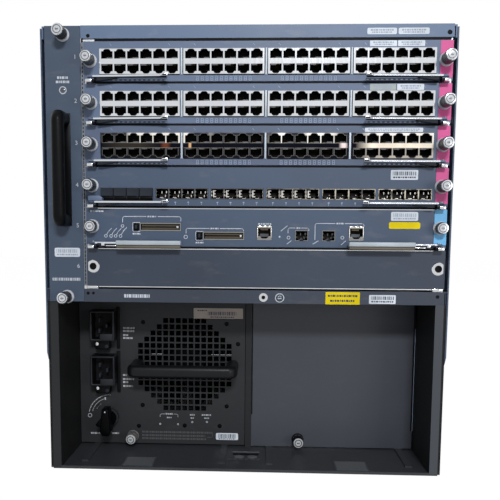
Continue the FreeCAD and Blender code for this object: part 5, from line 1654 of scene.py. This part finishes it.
# %% Labels of the power supply
BEIGE, BEIGE_INK, WHITE, WHITE_INK = range(4)
ON_LABEL = BAY - STICKER
bm = bmesh.new()
sticker(bm, -64.8, -3.7, 163.5, 176.4, BAY, BEIGE, 0.6)
dashes(bm, -60.0, -48.0, 172.8, 174.2, ON_LABEL, BEIGE_INK)
code(bm, -47.0, -12.0, 167.6, 172.2, BAY, BEIGE_INK)
dashes(bm, -44.0, -15.0, 164.8, 166.2, ON_LABEL, BEIGE_INK, 2)
sticker(bm, -36.6, -8.7, 9.9, 18.6, BAY, WHITE, 1.6)
code(bm, -33.6, -11.6, 12.0, 17.4, BAY, WHITE_INK)
dashes(bm, -33.0, -12.5, 10.7, 11.6, ON_LABEL, WHITE_INK)
piece(bm, "psu_labels", "psu", [label_beige, label_ink, label_white, label_ink])

# %% [markdown]
# ## Floor of the power bays
# Two paler plates are riveted to the floor, and a pressed recess lies between them, filled by a black plate
# of painted shade, with a lip at its back edge. Two thin dark lines and a blue one run along the edges of the
# blank cover; the blue one is a painted highlight on the cover's right edge.

# %% Floor of the power bays
FLOOR = 1.6
UPRIGHT = (0, 0, 1)
FLOOR_PLATES = ((-141.0, -104.0, 7.0, 38.0), (104.5, 143.0, 4.0, 37.0))
EDGE_LINES = ((7.5, 8.9, 44.0, 189.5, 2), (204.6, 206.4, 26.0, 189.5, 2), (206.5, 207.2, 26.0, 154.0, 4))
PALE_PLATE, PLATE_RIM, PRESSED_SHADE, FLOOR_MARK = range(4)
bm = bmesh.new()
for left, right, front, back in FLOOR_PLATES:
    block(bm, (left, front, FLOOR - 0.2), (right, back, FLOOR + 0.5), PLATE_RIM, 0.25)
    inner = (left + 2.0, front + 2.0, FLOOR + 0.4)
    block(bm, inner, (right - 2.0, back - 2.0, FLOOR + 0.6), PALE_PLATE)
    for x in (left + 2.4, right - 2.4):
        for y in (front + 3.0, back - 3.0):
            rod(bm, (x, y, FLOOR + 0.4), 1.1, 0.5, UPRIGHT, 14, PALE_PLATE, 0.8)
# A black plate fills the pressed recess: painted shade.
block(bm, (-15.5, 50.5, 0.05), (18.5, 63.5, 0.6), PRESSED_SHADE)
block(bm, (-15.0, 62.0, FLOOR), (18.0, 63.2, FLOOR + 0.9), PALE_PLATE, 0.3)
for x in (-6.0, 9.5):
    rod(bm, (x, 46.5, FLOOR), 6.0, 0.5, UPRIGHT, 20, PALE_PLATE, 4.4)
for index in range(6):
    left = -20.0 + index * 7.0
    block(bm, (left, 37.0, FLOOR), (left + 4.0, 39.0, FLOOR + 0.2), FLOOR_MARK)
# The blue line at the cover's right edge is a painted highlight.
for left, right, low, high, finish in EDGE_LINES:
    block(bm, (left, BAY - 2.0, low), (right, BAY - 1.5, high), finish)
finishes = [floor_plate, cover_paint, socket_plastic, print_dim, print_blue]
piece(bm, "bay_floor_plates", "chassis", finishes)

# %% [markdown]
# ## Parts on the boards
# A card that is pulled out shows its board. Such boards carry transformers behind the copper sockets, large
# chips under finned heat sinks, rows of smaller chips, power modules and round capacitors near the back.
# All are simple blocks and rods, set out by loops, and every second card is laid out a little further in.

# %% Heat sinks and capacitors
BOARD_DROP = 34.0
CHIP, SINK, SLEEVE, PASSIVE = range(4)
chip_black = plastic("chip_black", (0.012, 0.012, 0.013), 0.45, specular=0.3)
sink_metal = metal("heat_sink", (0.32, 0.33, 0.35), 0.36)
sleeve_blue = plastic("capacitor_sleeve", (0.012, 0.016, 0.04), 0.3, specular=0.4)
passive_tan = plastic("passive_tan", (0.2, 0.15, 0.1), 0.5, specular=0.3)
SINK_HALF = 21.0
SINK_FINS = 9
SINK_FOOT = 2.5


def on_board(bm, x, y, z, size, finish, edge=0.0):
    """A block whose middle is over a point of the board."""
    wide, deep, tall = size
    low = (x - wide / 2, y - deep / 2, z)
    block(bm, low, (x + wide / 2, y + deep / 2, z + tall), finish, edge)


def heat_sink(bm, x, y, z):
    """A large chip with a finned block on it."""
    side = 2 * SINK_HALF
    on_board(bm, x, y, z, (side + 2 * SINK_FOOT, side + 2 * SINK_FOOT, 1.8), CHIP)
    on_board(bm, x, y, z + 1.8, (side, side, 1.8), SINK)
    for fin in range(SINK_FINS):
        across = x - SINK_HALF + (fin + 0.5) * side / SINK_FINS
        on_board(bm, across, y, z + 3.4, (1.2, side, 7.6), SINK)


def capacitor(bm, x, y, z):
    rod(bm, (x, y, z), 4.2, 10.0, UPRIGHT, 20, SLEEVE)
    rod(bm, (x, y, z + 10.0), 3.7, 0.3, UPRIGHT, 20, SINK)


# %% Parts on the boards
INSET = 16.0
SINK_PLACES = (-70.0, 30.0, 120.0)


def row_of(count, pitch):
    """Evenly spaced x values about the middle of the panel."""
    return [PANEL_CENTRE + (index - (count - 1) / 2) * pitch for index in range(count)]


def board_parts(card):
    bm = bmesh.new()
    z = slot_top(card) - BOARD_DROP
    inset = INSET * (card % 2)
    if card in COPPER_CARDS:
        for x in row_of(12, 29.6):
            on_board(bm, x, 53.0, z, (22.0, 14.0, 7.0), CHIP, 0.5)
    for x in row_of(7, 44.0):
        on_board(bm, x, 98.0 + inset, z, (16.0, 16.0, 1.5), CHIP)
        for across in (x - 13.0, x + 13.0):
            for step in range(4):
                on_board(bm, across, 84.65 + inset + step * 8.0, z, (2.2, 1.3, 0.9), PASSIVE)
    for x in SINK_PLACES[: 2 + card % 2]:
        heat_sink(bm, x + inset, 170.0, z)
    for x in row_of(10, 26.0):
        on_board(bm, x, 227.0 + inset, z, (14.0, 10.0, 1.2), CHIP)
    for x in (-60.0, 45.0):
        on_board(bm, x, 308.0, z, (58.0, 36.0, 9.0), CHIP, 0.6)
        on_board(bm, x, 308.0, z + 8.9, (54.0, 32.0, 1.1), SINK)
    for index in range(5):
        for start in (-140.0, 110.0):
            capacitor(bm, start + index * 11.0, 308.0 + inset, z)
    finishes = [chip_black, sink_metal, sleeve_blue, passive_tan]
    piece(bm, f"card_{card}_board_parts", f"card_{card}", finishes)


for card in CARDS:
    board_parts(card)

# %% [markdown]
# ## Screws of the case
# The panels of the case are held by flat steel screws along their edges, on the top, the sides and the
# back. Each is a low cone with a dark cross recess, a flat cross of painted shade, turned to stand on its own
# panel.

# %% Screws of the case
CASE_TOP = 488.0
CASE_BACK = 460.0
CASE_EDGE = 478.0
PLATE_SIDE = 222.2
WALL_SIDE = 220.6
SCREW_RISE = 1.1
SIDEWAYS, BACKWARD = (1, 0, 0), (0, 1, 0)
AXES = [Vector(axis) for axis in (SIDEWAYS, BACKWARD, UPRIGHT)]


def case_screw(bm, place, axis):
    rod(bm, place, 3.3, SCREW_RISE, axis, 20, HEAD, 2.5)
    outward = Vector(axis)
    head = Vector(place) + outward * SCREW_RISE
    flat = [unit for unit in AXES if abs(unit.dot(outward)) < 0.5]
    depth = Vector([abs(part) for part in axis]) * 0.08
    for long, short in (flat, flat[::-1]):
        half = long * 1.6 + short * 0.35 + depth
        block(bm, head - half, head + half, RECESS_SHADE)


bm = bmesh.new()
for y in (24.0, 130.0, 236.0, 342.0, 446.0):
    for side in (-1, 1):
        case_screw(bm, (side * 211.0, y, CASE_TOP), UPRIGHT)
for x in (-140.0, -47.0, 47.0, 140.0):
    case_screw(bm, (x, 450.0, CASE_TOP), UPRIGHT)
    case_screw(bm, (x, CASE_BACK, CASE_EDGE), BACKWARD)
for side in (-1, 1):
    for z in (20.0, 135.0, 250.0, 365.0, CASE_EDGE):
        case_screw(bm, (side * 210.0, CASE_BACK, z), BACKWARD)
    for y in (14.0, 160.0, 300.0, 446.0):
        for across, z in ((PLATE_SIDE, CASE_EDGE), (PLATE_SIDE, 134.0), (WALL_SIDE, 20.0)):
            case_screw(bm, (side * across, y, z), (side, 0, 0))
piece(bm, "case_screws", "chassis", [bare_steel, socket_plastic])

# %% [markdown]
# ## Stage, light and camera
# The floor and the world look white to the camera and to reflections, and light the object at a plain
# level. The camera stands where the photograph was taken: its place and turn were worked out from points of
# the chassis.


# %% Floor
def seen_as_white(finish):
    """1 for rays of the camera, of reflections and through glass, and 0 for those that only carry light."""
    camera_ray, glossy_ray, glass_ray = (
        finish.node("LightPath", f"Is {kind} Ray") for kind in ("Camera", "Glossy", "Transmission")
    )
    return camera_ray.larger(glossy_ray).larger(glass_ray)


WHITE_COLOUR = (1, 1, 1, 1)
floor_finish = new_finish("stage_floor")
pale = floor_finish.node("BsdfDiffuse", "BSDF", {}, {"Color": (0.3, 0.3, 0.3, 1.0)})
white = floor_finish.node("Emission", "Emission", {}, {"Color": WHITE_COLOUR, "Strength": 1.2})
share = seen_as_white(floor_finish) * 0.82
mixed = floor_finish.node("MixShader", "Shader", {}, {"Fac": share, 1: pale, 2: white})
floor_nodes = floor_finish.tree.nodes
floor_nodes.remove(floor_nodes["Principled BSDF"])
floor_finish.feed(floor_nodes["Material Output"].inputs["Surface"], mixed)
bm = bmesh.new()
bmesh.ops.create_grid(bm, x_segments=1, y_segments=1, size=6.0)
floor_mesh = small_mesh(bm, "stage_floor")
floor_mesh.materials.append(floor_finish.owner)
floor = bpy.data.objects.new("stage_floor", floor_mesh)
bpy.context.scene.collection.objects.link(floor)
print("the floor measures", tuple(floor.dimensions))

# %% World
world = Finish(bpy.data.worlds.new("studio"))
bpy.context.scene.world = world.owner
sky = world.node("Background", "Background", {}, {"Color": (0.82, 0.9, 1.0, 1.0), "Strength": 0.17})
backdrop = world.node("Background", "Background", {}, {"Color": WHITE_COLOUR, "Strength": 1.0})
both = world.node("MixShader", "Shader", {}, {"Fac": seen_as_white(world), 1: sky, 2: backdrop})
world.feed(world.tree.nodes["World Output"].inputs["Surface"], both)
print("world", world.owner.name)


# %% Lights
def softbox(name, place, target, size, power, colour):
    """A rectangular lamp that points at a target, in metres and watts."""
    lamp = bpy.data.lights.new(name, "AREA")
    lamp.shape = "RECTANGLE"
    lamp.size, lamp.size_y = size
    lamp.energy = power
    lamp.color = colour
    made = bpy.data.objects.new(name, lamp)
    made.location = place
    made.rotation_euler = (Vector(target) - Vector(place)).to_track_quat("-Z", "Y").to_euler()
    bpy.context.scene.collection.objects.link(made)


softbox("key_light", (0.3, -2.4, 1.45), (0.0, -0.2, 0.3), (0.5, 0.22), 38.0, (0.96, 0.98, 1.0))
softbox("right_light", (1.4, -1.9, 0.33), (0.15, -0.2, 0.2), (0.8, 0.6), 9.0, (1.0, 0.98, 0.96))
softbox("side_light", (-2.0, 0.2, 1.3), (0.0, 0.0, 0.25), (1.2, 1.2), 10.0, (1.0, 0.98, 0.95))
softbox("back_light", (1.4, 2.0, 1.4), (0.0, 0.1, 0.25), (1.4, 1.2), 16.0, (1.0, 0.99, 0.97))
print("lights:", [lamp.name for lamp in bpy.data.lights])

# %% Camera
PHOTO_WIDTH = 500.0
SENSOR_WIDTH = 36.0
FOCAL_PIXELS = 657.4
AXIS_PIXEL = (233.1, 300.4)
CAMERA_PLACE = (0.0152, -0.935, 0.2697)
PITCH = math.radians(5.91)
YAW = math.radians(-2.23)
ROLL = math.radians(-0.38)
ahead = math.cos(PITCH)
forward = Vector((math.sin(YAW) * ahead, math.cos(YAW) * ahead, -math.sin(PITCH)))
level = Vector((math.cos(YAW), -math.sin(YAW), 0.0))
down = forward.cross(level)
right = level * math.cos(ROLL) + down * math.sin(ROLL)
up = -(down * math.cos(ROLL) - level * math.sin(ROLL))
camera_data = bpy.data.cameras.new("camera")
camera_data.sensor_width = SENSOR_WIDTH
camera_data.lens = SENSOR_WIDTH * FOCAL_PIXELS / PHOTO_WIDTH
camera_data.shift_x = 0.5 - AXIS_PIXEL[0] / PHOTO_WIDTH
camera_data.shift_y = AXIS_PIXEL[1] / PHOTO_WIDTH - 0.5
camera = bpy.data.objects.new("camera", camera_data)
turn = Matrix((right, up, -forward)).transposed().to_4x4()
camera.matrix_world = Matrix.Translation(CAMERA_PLACE) @ turn
bpy.context.scene.collection.objects.link(camera)
bpy.context.scene.camera = camera
bpy.context.scene.view_settings.view_transform = "Standard"
print("lens", round(camera_data.lens, 2), "mm")
